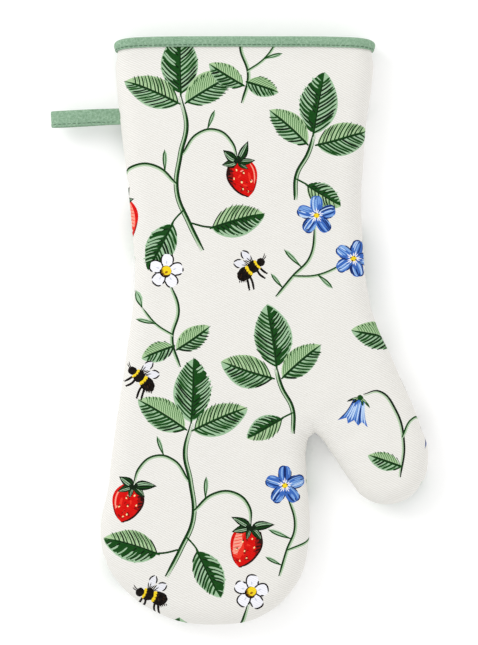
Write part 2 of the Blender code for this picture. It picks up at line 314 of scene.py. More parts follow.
class Plan:
    """Plan points of one side, with what is needed to place them."""

    def __init__(self, q, side):
        self.q = np.array(q, float)
        self.side = np.broadcast_to(side, len(self.q)).astype(float)
        r, u, _ = from_edge(self.q)
        k = np.clip(1 - r / EDGE_R, 0, 1)
        arc = r + ARC_EXTRA * EDGE_R * (1 - k ** 3)
        phi = np.minimum(arc / EDGE_R, pi / 2)
        d = np.where(r < EDGE_R, EDGE_R * (1 - np.cos(phi)), r)
        self.r, self.u, self.arc = r, u, arc
        self.base = self.q + (d - r)[:, None] * u
        self.z = HALF * np.sin(phi)
        flat = HALF * np.cos(phi)
        up = EDGE_R * np.sin(phi)
        size = np.hypot(flat, up)
        self.nh, self.nz = flat / size, up / size
        front = self.side > 0
        w = np.where(front, sample(RELIEF[1], self.q),
                     sample(RELIEF[-1], self.q))
        g = np.where(front[:, None], sample(RELIEF_SLOPE[1], self.q),
                     sample(RELIEF_SLOPE[-1], self.q))
        cling = smooth(r / CLING)
        middle = 0.5 * (sample(RELIEF[1], self.q) + sample(RELIEF[-1], self.q))
        dip = SEAM_DIP * np.exp(-arc / SEAM_SOFT)
        self.w = w * cling + middle * (1 - cling) - dip
        tau = left_of(u)
        along = (g * tau).sum(1)
        across = (g * u).sum(1) * self.nz + dip / SEAM_SOFT
        n = np.zeros((len(self.q), 3))
        n[:, :2] = -u * self.nh[:, None]
        n[:, 2] = self.nz * self.side
        n[:, :2] -= tau * (along * cling)[:, None]
        n[:, :2] -= u * (across * self.nz)[:, None]
        n[:, 2] -= across * self.nh * self.side
        self.normal = unit(n)
        self.sag = cuff_sag(self.q)

    def at(self, depth):
        """Positions (mm, in the CAD frame) at a depth under the face."""
        move = self.w - depth
        out = np.empty((len(self.q), 3))
        out[:, :2] = self.base - self.u * (self.nh * move)[:, None]
        out[:, 2] = (self.z + self.nz * move) * self.side + MID_Z
        out[:, 0] += SHIFT_X
        out[:, 1] += self.sag
        return out

    def fabric(self, depth=0.0):
        """Where each point lies on the flat cloth, for the weave."""
        turned = EDGE_R * pi / 2 - np.minimum(self.arc, EDGE_R * pi / 2)
        extra = np.where(self.r < EDGE_R, EDGE_R - self.r, 0.0) \
            - turned * (1 - depth / HALF)
        out = (self.q + self.u * extra[:, None]) / 100.0
        out[:, 0] = np.where(self.side > 0, out[:, 0], 4 - out[:, 0])
        return out


BOUND_FROM, BOUND_TO = 149.5, 158.0     # the cloths close up in the cuff


def squeeze(q, loose, bound):
    """Depth of a cloth's face: loose in the mitt, bound in the cuff."""
    return loose + (bound - loose) * smooth(
        (q[:, 1] - BOUND_FROM) / (BOUND_TO - BOUND_FROM))


# ---- plan meshes ----------------------------------------------------------
RINGS = (0.22, 0.6, 1.15, 1.9, 2.9, 4.2, 5.9, 8.0, 10.6, 13.4)
GRID_STEP = 2.9            # between the even points further in
LINE_STEP = 2.6            # between points on the cuff's and thumb's lines
ROW_RISE = 0.866           # height of a row of the even points, in steps


def inside(points, top):
    """True for plan points within the outline and below the top."""
    ring = np.concatenate([EDGE, EDGE[:1]])
    x, y = points[:, 0], points[:, 1]
    hit = np.zeros(len(points), bool)
    for (x0, y0), (x1, y1) in zip(ring[:-1], ring[1:]):
        if y0 == y1:
            continue
        cross = (y0 > y) != (y1 > y)
        hit ^= cross & (x < (x1 - x0) * (y - y0) / (y1 - y0) + x0)
    return hit & (y < top)


def base_points(top):
    """Rings that follow the edge, and an even grid inside them."""
    out = []
    line = EDGE[::2]
    normal = EDGE_N[::2]
    for k, r in enumerate(RINGS):
        p = line + normal * r
        dist, _, _ = from_edge(p)
        ok = (abs(dist - r) < 0.06 + 0.08 * r) & inside(p, top - 0.8)
        if r > 4:
            ok &= np.arange(len(p)) % 2 == k % 2
        out.append(p[ok])
    x = np.arange(-84, 112, GRID_STEP)
    y = np.arange(-170, top, GRID_STEP * ROW_RISE)
    p = crossed(x, y)
    p[..., 0] += np.arange(len(y)) % 2 * GRID_STEP / 2
    p = p.reshape(-1, 2)
    p = p[inside(p, top - 1.2)]
    dist, _, _ = from_edge(p)
    out.append(p[dist > RINGS[-1] + 1.6])
    return np.concatenate(out)


def cuff_sides(y):
    """The outline's x on the left and the right at a height in the cuff."""
    left, right = EDGE[:60][::-1], EDGE[-60:]
    return (np.interp(y, left[:, 1], left[:, 0]),
            np.interp(y, right[:, 1], right[:, 0]))


def anticlockwise(ring):
    x, y = ring[:, 0], ring[:, 1]
    turned = (x * np.roll(y, -1) - y * np.roll(x, -1)).sum() < 0
    return ring[::-1] if turned else ring


def outline_ring(top):
    """The outline, closed straight across at the cuff's top."""
    left, right = cuff_sides(top)
    across = level(np.linspace(
        right, left, int((right - left) / LINE_STEP))[1:-1], top)
    return np.concatenate([[(left, top)], EDGE[EDGE[:, 1] < top - 0.3],
                           [(right, top)], across])


def thumb_region():
    line = smooth_line(THUMB_LINE, LINE_STEP)
    far = [(96, 22), (140, 22), (140, -130), (42.6, -130), (42.5, -62)]
    return anticlockwise(np.concatenate([line, far]))


BANDS = (-200.0, -128.0, -86.0, -44.0, -2.0, 40.0, 82.0, 122.0, 170.0)
BAND_HALF = 130.0          # half their width
SPLIT_GAP = 0.7            # no free points this close to a band's edge
MERGE_GAP = 3e-4           # points on a band's edge closer than this are one


def in_band(low, high, top, shapes, free):
    """Triangles of the mitt between two heights, and what covers them."""
    x = np.arange(-BAND_HALF, BAND_HALF + 1, LINE_STEP)
    frame_ring = np.concatenate([level(x, low), level(x[::-1], high)])
    rings = [outline_ring(top), thumb_region(), frame_ring]
    number = []
    for k, ring in enumerate(shapes):
        if ring[:, 1].max() > low and ring[:, 1].min() < high:
            rings.append(ring)
            number.append(k)
    y = free[:, 1]
    keep = free[(y > low + SPLIT_GAP) & (y < high - SPLIT_GAP)]
    count = np.cumsum([0] + [len(r) for r in rings])
    faces = [list(range(i, j)) for i, j in zip(count[:-1], count[1:])]
    result = geometry.delaunay_2d_cdt(
        [tuple(p) for p in np.concatenate(rings + [keep])], [], faces,
        0, 1e-4, True)
    q = np.array([tuple(v) for v in result[0]])
    tris, thumb, shape = [], [], []
    for f, origin in zip(result[2], result[5]):
        if 0 in origin and 2 in origin:
            over = max(origin)
            tris.append(f[:3])
            thumb.append(1 in origin)
            shape.append(number[over - 3] if over > 2 else -1)
    return q, np.array(tris), np.array(thumb), np.array(shape)


def triangulate(top, shapes):
    """Plan points, triangles, thumb flags and the top shape of each.

    shapes are closed plan polygons in painter's order.  The work is done in
    bands, as one mesh of everything at once takes far longer.
    """
    free = base_points(top)
    parts = [in_band(low, high, top, shapes, free)
             for low, high in zip(BANDS[:-1], BANDS[1:])]
    start = np.cumsum([0] + [len(p[0]) for p in parts])
    q = np.concatenate([p[0] for p in parts])
    tris = np.concatenate([p[1] + n for p, n in zip(parts, start)])
    thumb = np.concatenate([p[2] for p in parts])
    shape = np.concatenate([p[3] for p in parts])
    same = np.arange(len(q))
    for level in BANDS[1:-1]:
        on = np.flatnonzero(abs(q[:, 1] - level) < 1e-6)
        on = on[np.argsort(q[on, 0])]
        for a, b in zip(on[:-1], on[1:]):
            if q[b, 0] - q[a, 0] < MERGE_GAP:
                same[b] = same[a]
    tris = same[tris]
    a, b, c = (q[tris[:, k]] for k in range(3))
    ab, ac = b - a, c - a
    area = ab[:, 0] * ac[:, 1] - ab[:, 1] * ac[:, 0]
    tris[area < 0] = tris[area < 0][:, ::-1]
    good = abs(area) > 1e-7
    return q, tris[good], thumb[good], shape[good]


# ---- meshes ---------------------------------------------------------------
def add_object(name, data):
    ob = bpy.data.objects.new(name, data)
    bpy.context.scene.collection.objects.link(ob)
    return ob


def new_object(name, verts, faces, uv=None):
    """A mesh object from points in mm; a cloth's is smooth, with UVs."""
    me = bpy.data.meshes.new(name)
    me.from_pydata((np.asarray(verts) * MM).tolist(), [], faces)
    if uv is not None:
        me.polygons.foreach_set("use_smooth", np.ones(len(faces), bool))
        me.uv_layers.new(name="fabric").data.foreach_set(
            "uv", np.asarray(uv, np.float32).ravel())
    return add_object(name, me)


def boundary(tris):
    """Directed edges that only one triangle uses."""
    edges = np.concatenate([tris[:, [0, 1]], tris[:, [1, 2]], tris[:, [2, 0]]])
    key = {}
    for a, b in edges.tolist():
        key[(a, b)] = key.get((a, b), 0) + 1
    return [(a, b) for a, b in key if (b, a) not in key]


def cloth_object(name, plan_points, tris, side, faces_depth, colours=None):
    """A closed sheet between two depths, with smooth normals and a UV map."""
    used = np.unique(tris)
    index = np.full(len(plan_points), -1)
    index[used] = np.arange(len(used))
    q, t = plan_points[used], index[tris]
    if side < 0:
        t = t[:, ::-1]
    plan = Plan(q, side)
    (outer, outer_bound), (inner, inner_bound) = faces_depth
    top = plan.at(squeeze(q, outer, outer_bound))
    low = plan.at(squeeze(q, inner, inner_bound))
    n = len(q)
    walls = []
    for a, b in boundary(t):
        walls.append((b, a, a + n))
        walls.append((b, a + n, b + n))
    walls = np.array(walls)
    every = np.concatenate([t, t[:, ::-1] + n, walls])
    loops = every.ravel()
    co = np.concatenate([top, low])
    ob = new_object(name, co, every.tolist(),
                    plan.fabric(outer)[loops % n])
    me = ob.data
    if colours is not None:
        tint = me.color_attributes.new("ink", "FLOAT_COLOR", "CORNER")
        blank = np.zeros((len(t) + len(walls), 4))
        rgba = np.repeat(np.concatenate([colours, blank]), 3, axis=0)
        tint.data.foreach_set("color", rgba.astype(np.float32).ravel())
    normal = np.concatenate([plan.normal, -plan.normal])[loops]
    a, b, c = (co[walls[:, k]] for k in range(3))
    wn = np.cross(b - a, c - a)
    wn /= np.maximum(np.linalg.norm(wn, axis=1), 1e-9)[:, None]
    normal[-3 * len(walls):] = np.repeat(wn, 3, axis=0)
    me.normals_split_custom_set(normal.tolist())
    return ob


# ---- the print: drawing tools ---------------------------------------------
def ink(r, g, b, cover=1.0):
    """A printed colour from its screen values; cover is how solid it is."""
    c = [v / 255 for v in (r, g, b)]
    c = [v / 12.92 if v <= 0.04045 else ((v + 0.055) / 1.055) ** 2.4
         for v in c]
    return (*c, cover)


DEEP = ink(8, 30, 10)
GREEN = ink(16, 70, 18)
MID = ink(72, 122, 66)
LIGHT = ink(168, 199, 152)
COOL = ink(158, 192, 156)
STALK = ink(176, 202, 168)
INK = ink(12, 4, 3)
RED = ink(212, 6, 3)
SCARLET = ink(234, 50, 34)
CRIMSON = ink(140, 6, 6)
MAROON = ink(40, 3, 3)
ROSE = ink(246, 158, 138)
SEED = ink(250, 222, 160)
WHITE = ink(243, 243, 250)
WING = ink(230, 231, 240, 0.8)
SHADE = ink(196, 200, 216)
YELLOW = ink(244, 212, 34)
AMBER = ink(160, 108, 12)
BROWN = ink(70, 38, 10)
BLUE = ink(58, 104, 186)
SKY = ink(128, 170, 226)
HAZE = ink(186, 212, 244)
NAVY = ink(12, 38, 100)


class Drawing:
    """Closed shapes on the plan, in painter's order."""

    def __init__(self):
        self.rings, self.inks, self.rng = [], [], None

    def shape(self, ring, colour):
        self.rings.append(np.array(ring, float))
        self.inks.append(colour)

    def between(self, at, u, near, far, colour):
        """The shape between two lines; near and far are shares at each u."""
        near, far = (f if callable(f) else lambda a, f=f: f
                     for f in (near, far))
        self.shape([at(a, near(a)) for a in u]
                   + [at(a, far(a)) for a in u[::-1]], colour)

    def stroke(self, points, wide, colour, ends=(0.15, 0.15), step=1.1):
        """A pen line: wide in the middle, tapering to both ends."""
        line = smooth_line(points, step)
        if len(line) < 3:
            line = np.array([line[0], (line[0] + line[-1]) / 2, line[-1]])
        n = left_of(unit(np.gradient(line, axis=0)))
        s = np.linspace(0, 1, len(line))
        body = np.minimum(1, np.minimum(ends[0] + s * 6,
                                        ends[1] + (1 - s) * 4))
        w = (wide / 2 * body)[:, None]
        self.shape(np.concatenate([line + n * w, (line - n * w)[::-1]]),
                   colour)

    def blob(self, mid, rx, ry, turn, colour, n=14, rough=0.0):
        a = np.arange(n) * 2 * pi / n
        size = 1 + rough * self.rng.uniform(-1, 1, n)
        x, y = rx * np.cos(a) * size, ry * np.sin(a) * size
        c, s = cos(turn), sin(turn)
        self.shape(np.stack([mid[0] + x * c - y * s,
                             mid[1] + x * s + y * c], axis=1), colour)


def quarter(v):
    return np.array((-v[1], v[0]))


def heading(a):
    return np.array((cos(a), sin(a)))


def along(a, b, upright=False):
    """Unit vectors along and across from a to b, and the distance."""
    v = b - a
    size = np.hypot(*v)
    v = v / size
    n = quarter(v)
    return v, -n if upright and n[1] < 0 else n, size


class Blade:
    """A leaf's outline and midrib, with u along it and s across it."""

    def __init__(self, base, tip, half, bend):
        self.v, self.n, self.size = along(base, tip)
        self.base, self.half, self.bend = base, half, bend

    def wide(self, u):
        u = np.clip(u, 0, 1)
        return self.half * np.sin(pi * u ** 0.90) ** 0.74

    def arch(self, u):
        return self.bend * self.size * 2 * u * (1 - u)

    def at(self, u, s):
        u, s = np.asarray(u, float)[..., None], np.asarray(s, float)
        return (self.base + self.v * (self.size * u)
                + self.n * (self.arch(u) + self.wide(u) * s[..., None]))

    def ray(self, u, sign, lean, low, high):
        """A barb from the midrib toward the rim, between two shares."""
        out = self.v * cos(lean) + self.n * sign * sin(lean)
        t = np.linspace(0, 2.6 * self.half, 90)
        start = self.at(u, 0.0)
        p = start + out * t[:, None] - self.base
        x = p @ self.v / self.size
        y = (p @ self.n - self.arch(x)) * sign
        stop = t[np.argmax((y > self.wide(x)) | (x > 0.99))] + 0.4
        a, c = start + out * stop * low, start + out * stop * high
        return np.array([a, (a + c) / 2 - self.v * 0.05 * stop, c])


BARB_GAP = 2.75            # between the barbs of a leaf
TEETH = 34                 # points along a full side's toothed rim


def leaf_side(dr, b, sign, kind, count):
    """The barbs of one side: fine, full, or wide ones for barbs and open."""
    rng = dr.rng
    lean = rng.uniform(0.72, 0.86)
    step = 0.86 / count

    def barb(u, low, high, wide, colour, ends, move=0.0):
        dr.stroke(b.ray(u, sign, lean, low, high) + move, wide, colour, ends)

    if kind == "fine":
        for k in range(int(count * 1.6)):
            barb(0.02 + 0.80 * k / (count * 1.6 - 1), 0.08, 0.92, 0.42, MID,
                 (0.3, 0.2))
    for k in range(count):
        u = max(0.0, 0.01 + step * (k + rng.uniform(-0.16, 0.16)))
        lean += rng.uniform(-0.035, 0.035)
        if kind == "fine":
            barb(u, 0.72, 0.97, 0.62, GREEN, (0.2, 0.5))
        elif kind == "full":
            if rng.rand() < 0.12:
                continue
            u += 0.5 * step
            move = b.v * rng.uniform(0.75, 0.95)
            if rng.rand() < 0.7:
                barb(u, 0.0, 0.9, 0.7, DEEP, (0.5, 0.1), move)
            low, high = rng.uniform(0.12, 0.40), rng.uniform(0.90, 1.07)
            barb(u, low, high, rng.choice((0.45, 0.6, 0.8, 1.05)), COOL,
                 (0.15, 0.6))
        else:
            wide = step * b.size * sin(lean) * (0.62 if kind == "barbs"
                                                else 0.40)
            high = rng.uniform(0.90, 1.0)
            barb(u, 0.0, high, wide * rng.uniform(0.85, 1.2),
                 GREEN if rng.rand() < 0.75 else DEEP, (0.9, 0.35))
            if rng.rand() < 0.5:
                barb(u, 0.0, high, wide * 0.4, DEEP, (0.6, 0.1),
                     -b.v * wide * 0.3)
            if rng.rand() < 0.5:
                barb(u + 0.5 * step, 0.3, 0.9, 0.34, MID, (0.3, 0.2))


def leaf(dr, base, tip, half, left, right, bend=0.0):
    """A leaf with a dark midrib; a side is full, barbs, open or fine."""
    b = Blade(base, tip, half, bend)
    rib = b.at(np.linspace(0, 1, 14), np.zeros(14))
    rim = np.linspace(0, 1, 22)
    slip = dr.rng.uniform(-0.9, 0.5, 2)    # the pale ground, printed askew
    for sign, kind in ((1, left), (-1, right)):
        ring = np.concatenate([b.at(rim, np.full(22, sign * 1.02)),
                               rib[::-1][1:-1]])
        dr.shape(ring + slip, COOL if kind in ("full", "barbs") else LIGHT)
        if kind == "full":
            u = np.linspace(0.02, 0.985, TEETH)
            tooth = 0.96 + 0.04 * np.where(np.arange(TEETH) % 3 == 0, -2.2, 1)
            dr.shape(np.concatenate([b.at(u, tooth * sign),
                                     b.at(u, 0 * u)[::-1]]), GREEN)
    count = max(5, int(round(b.size / BARB_GAP)))
    for sign, kind in ((1, left), (-1, right)):
        leaf_side(dr, b, sign, kind, count)
    dr.stroke([b.at(u, 0.0) for u in (-0.05, 0.3, 0.65, 1.0)], 1.30, GREEN,
              (0.6, 0.2))
    dr.stroke([b.at(0.02, -0.03), b.at(0.4, -0.03), b.at(0.9, -0.02)], 0.50,
              DEEP, (0.6, 0.1))


def sepal(dr, root, out, size, curl):
    """One leafy flap of a berry's cap, pale inside a dark edge."""
    n = quarter(out)
    wide = size * dr.rng.uniform(0.20, 0.28)
    size = size * dr.rng.uniform(0.9, 1.25)

    def at(u, s):
        return (root + out * size * u + n * wide * s
                * sin(pi * min(u ** 0.8, 1.0)) + n * curl * size * u * u)

    u = np.linspace(0, 1, 8)
    dr.shape([at(a, 1) for a in u] + [at(a, -1) for a in u[::-1][1:-1]],
             DEEP)
    dr.between(at, np.linspace(0.22, 0.86, 6), 0.60, 0.02, COOL)
    dr.stroke([at(0.15, -0.5), at(0.5, -0.45), at(0.8, -0.4)], 0.50, GREEN,
              (0.3, 0.1))
    dr.stroke([at(0.1, 0.2), at(0.5, 0.34), at(0.85, 0.3)], 0.42, DEEP,
              (0.8, 0.1))


BERRY_PATCHES = [  # along, across, size, colour
    (0.30, -0.62, 1.5, CRIMSON), (0.52, -0.72, 1.2, CRIMSON),
    (0.74, -0.50, 1.3, CRIMSON), (0.42, -0.18, 1.2, SCARLET),
    (0.66, 0.05, 1.3, SCARLET), (0.86, 0.30, 1.1, CRIMSON),
    (0.62, 0.66, 0.9, ROSE), (0.24, 0.12, 0.9, ROSE),
]
BERRY_SEEDS = [  # along, across
    (0.20, -0.30), (0.34, 0.20), (0.42, -0.55), (0.54, -0.10),
    (0.60, 0.48), (0.74, -0.38), (0.84, 0.12),
]
BERRY_CAP = [  # turn and reach of each flap
    (0.35, 0.62), (1.25, 0.95), (-1.30, 0.90), (2.05, 1.0), (-2.15, 1.05),
]
CAP_SIZE = 1.05


def strawberry(dr, neck, tip, half, lit):
    """A berry, lit on its upper side or plain, with a leafy cap."""
    v, n, size = along(neck, tip, True)
    rng = dr.rng

    def body(u, s):
        """Point at u along the berry and s (-1 to 1) across it."""
        w = half * np.sin(pi * (0.13 + 0.87 * u)) ** 0.60 * (1.13 - 0.36 * u)
        return neck + v * size * u + n * w * s

    u = np.linspace(0, 1, 15)
    dr.between(body, u, 1, -1, RED)
    dr.between(body, u, -1, lambda a: -0.72 + 0.16 * sin(7 * a), CRIMSON)
    dr.between(body, u[:5], -1, lambda a: -0.80 + 0.3 * a, MAROON)
    for k in range(5):
        a = 0.05 + 0.09 * k
        dr.stroke([body(a, -0.95), body(a + 0.08, -0.95 + 0.9 * (0.7 - a))],
                  0.85, MAROON, (0.9, 0.1))
    if lit:
        dr.between(body, u[1:12], lambda a: 0.84 + 0.05 * cos(9 * a),
                   lambda a: 0.16 + 0.15 * sin(8 * a), SCARLET)
        dr.between(body, u[1:11], 0.80,
                   lambda a: 0.34 + 0.12 * sin(11 * a), ROSE)
        for k in range(7):
            a = 0.14 + 0.085 * k
            dr.stroke([body(a, 0.32), body(a + 0.10, 0.80)], 0.42, SCARLET,
                      (0.4, 0.2))
    else:
        dr.stroke([body(a, 0.80) for a in (0.12, 0.3, 0.5, 0.7)], 0.7, ROSE)
        dr.stroke([body(a, 0.45) for a in (0.35, 0.5, 0.62)], 1.3, SCARLET)
    for a, j, wide, colour in BERRY_PATCHES:
        p = body(a, j) + rng.uniform(-0.7, 0.7, 2)
        dr.blob(p, wide, wide * 0.5, rng.uniform(0, 3), colour, 9, 0.45)
    for k, (a, j) in enumerate(BERRY_SEEDS):
        p = body(a, j) + rng.uniform(-0.6, 0.6, 2)
        turn = atan2(v[1], v[0]) + rng.uniform(-0.5, 0.5)
        if k % 2 or j > 0.4:
            dr.blob(p - v * 0.5, 0.72, 0.45, turn, MAROON, 7, 0.2)
        dr.blob(p + v * 0.15, 0.62, 0.45, turn, SEED, 6, 0.25)
    for k in range(6):
        a, j = rng.uniform(0.2, 0.85), rng.uniform(-0.5, 0.2)
        p = body(a, j)
        dr.stroke([p, p + v * 1.2 + n * 0.8], 0.7, CRIMSON, (0.3, 0.2))
    dr.stroke([body(a, -0.97) for a in (0.0, 0.3, 0.6, 0.85, 1.0)], 1.0,
              MAROON, (0.8, 0.4))
    dr.stroke([body(a, 0.2 - a) for a in (0.93, 0.98, 1.0)], 0.9, MAROON)
    dr.stroke([body(a, 0.97) for a in (0.62, 0.8, 0.93)], 0.6, CRIMSON)
    root = neck - v * 0.4
    for turn, reach in BERRY_CAP:
        turn += rng.uniform(-0.15, 0.15)
        sepal(dr, root, v * cos(turn) + n * sin(turn),
              half * 1.12 * reach * CAP_SIZE, 0.22 if turn > 0 else -0.22)
    dr.blob(root, 1.5 * CAP_SIZE, 1.2 * CAP_SIZE, 0, DEEP, 8, 0.1)


def petals(mid, size, turn, plump, waist=0.16):
    """Five round petals: directions and the two halves of the outline."""
    out = []
    for k in range(5):
        v = heading(turn + 2 * pi * k / 5)
        n = quarter(v)
        u = np.linspace(0, pi, 13)
        w = size * plump * np.sin(u) ** 0.8 * (0.58 + 0.42 * u / pi)
        x = size * (waist + (1 - waist) * (1 - np.cos(u)) / 2)
        middle = mid + v * x[:, None]
        out.append((v, n, middle + n * w[:, None], middle - n * w[:, None]))
    return out


def daisy(dr, mid, size, turn):
    """White petals with a broken ink outline and a yellow eye."""
    made = petals(mid, size, turn, 0.44)
    for v, n, upper, lower in made:
        dr.shape(np.concatenate([upper, lower[::-1][1:-1]]), WHITE)
    for v, n, upper, lower in made:
        dr.stroke([mid + v * size * 0.40, mid + v * size * 0.62
                   + n * 0.4], 0.8, SHADE)
        rim = np.concatenate([upper[4:], lower[::-1][1:9]])
        cuts = [0] + sorted(dr.rng.choice(range(3, len(rim) - 3), 2,
                                          False).tolist()) + [len(rim) - 1]
        for low, high in zip(cuts[:-1], cuts[1:]):
            if high - low > 2:
                dr.stroke(rim[low:high], 0.85, INK, (0.35, 0.25), 0.8)
        dr.stroke([mid + (upper[3] - mid) * 0.9, upper[5]], 0.85, INK,
                  (0.8, 0.2))
    dr.blob(mid, size * 0.34, size * 0.33, 0, BROWN, 14, 0.08)
    dr.blob(mid + (0.35, 0.35), size * 0.28, size * 0.27, 0, YELLOW, 13,
            0.06)
    for k in range(5):
        v = heading(pi + 0.35 * (k - 1))
        dr.stroke([mid + v * size * 0.14, mid + v * size * 0.30], 0.6,
                  BROWN if k % 2 else AMBER)
    dr.blob(mid + (0.2, -0.6), size * 0.10, size * 0.07, 0.5, AMBER, 8)
    a = np.linspace(pi * 0.9, pi * 1.7, 7)
    dr.stroke(mid + np.stack([np.cos(a), np.sin(a)], axis=1) * size * 0.34,
              0.75, INK, (0.3, 0.3), 0.8)


def blue_flower(dr, mid, size, turn):
    """Five blue petals, streaked toward a yellow eye."""
    rng = dr.rng
    made = petals(mid, size, turn, 0.40, 0.05)
    for v, n, upper, lower in made:
        dr.shape(np.concatenate([upper, lower[::-1][1:-1]]), BLUE)
    for v, n, upper, lower in made:
        middle, spread = (upper + lower) / 2, (upper - lower) / 2
        for k in np.linspace(-0.86, 0.86, 8):
            k += rng.uniform(-0.08, 0.08)
            last = 12 - int(abs(k) * 3)
            first = rng.randint(3, 7)
            colour = (SKY, NAVY, HAZE, SKY, BLUE)[rng.randint(0, 5)]
            dr.stroke((middle + spread * k)[first:last],
                      rng.uniform(0.45, 0.85), colour, (0.2, 0.5))
        for ring in (upper[3:8], upper[8:], lower[4:9]):
            if rng.rand() < 0.8:
                dr.stroke(ring, 0.62, NAVY, (0.3, 0.3))
        tip = middle[11]
        dr.stroke([tip, tip - v * size * 0.2 + n * 0.5], 0.5, NAVY,
                  (0.6, 0.1))
    for v, n, upper, lower in made:
        for k, reach in ((-0.35, 0.30), (0.0, 0.40), (0.35, 0.30)):
            dr.stroke([mid, mid + (v + n * k) * size * reach], 0.55, WHITE,
                      (1.0, 0.1))
    dr.blob(mid, size * 0.15, size * 0.14, 0, YELLOW, 10, 0.1)
    for k in range(4):
        a = turn + 1.5 * k
        dr.blob(mid + heading(a) * size * 0.13, 0.5, 0.38, a,
                NAVY if k % 2 else BROWN, 6, 0.2)


def bell_flower(dr, base, mouth, half):
    """A hanging bell with pointed lobes and a small green cap."""
    v, n, size = along(base, mouth)
    rng = dr.rng

    def at(u, s):
        w = half * (0.40 + 0.34 * u + 0.34 * u ** 3)
        return base + v * size * u + n * w * s

    low = [at(u, -1) for u in (0, 0.25, 0.5, 0.75, 1.08)]
    high = [at(u, 1) for u in (1.04, 0.75, 0.5, 0.25, 0)]
    lobes = [at(0.88, -0.62), at(1.10, -0.32), at(0.90, 0.0),
             at(1.08, 0.34), at(0.88, 0.64)]
    dr.shape(low + lobes + high, BLUE)
    for k in np.linspace(-0.88, 0.88, 9):
        colour = (SKY, NAVY, HAZE, HAZE)[rng.randint(0, 4)]
        dr.stroke([at(rng.uniform(0.08, 0.4), k), at(0.65, k),
                   at(rng.uniform(0.90, 1.02), k * 0.96)],
                  rng.uniform(0.6, 1.1), colour)
    dr.stroke(low, 0.6, NAVY)
    a = base - v * 0.8
    for k in (-1.5, -0.7, 0.6, 1.5):
        b = base + v * size * 0.26 + n * half * 0.60 * k
        dr.stroke([a, (a + b) / 2 + n * 0.3 * k, b], 1.3,
                  GREEN if k > 0 else DEEP, (0.6, 0.1))
        dr.stroke([a, (a + b) / 2 + n * 0.5 * k], 0.5, LIGHT)
    dr.blob(base - v * 0.5, 1.7, 1.5, 0, GREEN, 8, 0.1)


WING_REACH = 9.0
BEE_WINGS = [  # root along the body, direction along and off it, half width
    (0.34, 0.10, 1.0, 2.1), (0.46, 0.72, 0.75, 2.3),
]
BEE_LEGS = [  # root, then knee and foot off it, along and off the body
    (0.24, -0.4, -2.4, -1.2, -4.6), (0.36, 0.2, -3.0, -0.8, -6.0),
    (0.66, 0.6, -3.2, 2.4, -7.2), (0.76, 1.2, -2.6, 3.0, -6.2),
]
BEE_BODY = [  # along, off the middle, half length and width, points, rough
    (0.74, 0.0, 0.28, 1.02, 22, 0.07), (0.38, 0.15, 0.20, 0.96, 20, 0.08),
    (0.11, -0.1, 0.13, 0.66, 14, 0.07),
]


def bee(dr, head, tail, half):
    """A round bee with two yellow bands and inked, clear wings."""
    v, n, size = along(head, tail, True)
    turn = atan2(v[1], v[0])
    rng = dr.rng

    def at(u, s):
        return head + v * size * u + n * s

    for root, out_v, out_n, wide in BEE_WINGS:
        out = v * out_v + n * out_n
        out /= np.hypot(*out)
        side = quarter(out)
        reach = out * WING_REACH
        a = at(root, half * 0.6)
        mid = a + reach * 0.60
        dr.blob(mid, WING_REACH * 0.38, wide * 0.9, atan2(out[1], out[0]),
                WING)
        for w in (side, -side):
            dr.stroke([a + w * 0.3, mid + w * wide * 0.95 - out * 1.4],
                      0.62, INK, (0.9, 0.3))
            dr.stroke([mid + w * wide - out * 0.4,
                       mid + w * wide * 0.9 + reach * 0.18,
                       mid + w * wide * 0.2 + reach * 0.40],
                      0.80, INK, (0.2, 0.5))
        dr.stroke([a, a + reach * 0.50 + side * 0.5], 0.50, INK, (0.8, 0.2))
        dr.stroke([a + side * 0.6, a + reach * 0.36 - side * 0.9], 0.42,
                  INK, (0.8, 0.2))
    for root, knee_v, knee_n, foot_v, foot_n in BEE_LEGS:
        a = at(root, -half * 0.7)
        foot = a + v * foot_v + n * foot_n
        dr.stroke([a, a + v * knee_v + n * knee_n, foot], 1.25, INK,
                  (1.0, 0.4))
        dr.blob(foot, 0.62, 0.45, turn, INK, 6, 0.2)
    for k, spread in ((0.9, 0.2), (0.2, -0.3)):
        a = at(0.03, 0.8 * k)
        dr.stroke([a, a - v * 2.0 + n * (0.6 + spread),
                   a - v * 3.2 + n * (1.5 + 2 * spread)], 0.55, INK,
                  (0.9, 0.4))
    for u, s, rx, ry, count, rough in BEE_BODY:
        dr.blob(at(u, s), size * rx, half * ry, turn, INK, count, rough)
    for u, w, wide in ((0.235, 0.78, 1.5), (0.56, 0.84, 1.9)):
        line = np.array([at(u + 0.05 * (1 - abs(k)), half * w * k)
                         for k in (-1.0, -0.5, 0.0, 0.5, 1.0)])
        dr.stroke(line, wide, YELLOW, (0.3, 0.7))
        dr.stroke(line[1:4] + v * wide * 0.45, 0.55, BROWN)
        for k in (-0.6, -0.1, 0.5):
            a = at(u + 0.05, half * w * k)
            dr.stroke([a + v * wide * 0.6, a - v * wide * 0.25], 0.45, INK,
                      (0.9, 0.1))
    for k in range(6):
        a = at(rng.uniform(0.65, 0.95), half * rng.uniform(-0.8, 0.8))
        dr.stroke([a, a + v * 1.1 - n * 0.5], 0.32, BROWN, (0.3, 0.2))
    for k in range(5):
        a = at(0.80 + 0.05 * k, -half * (0.95 - 0.14 * k))
        dr.stroke([a, a + v * 1.0 - n * 1.0], 0.6, INK, (0.9, 0.2))


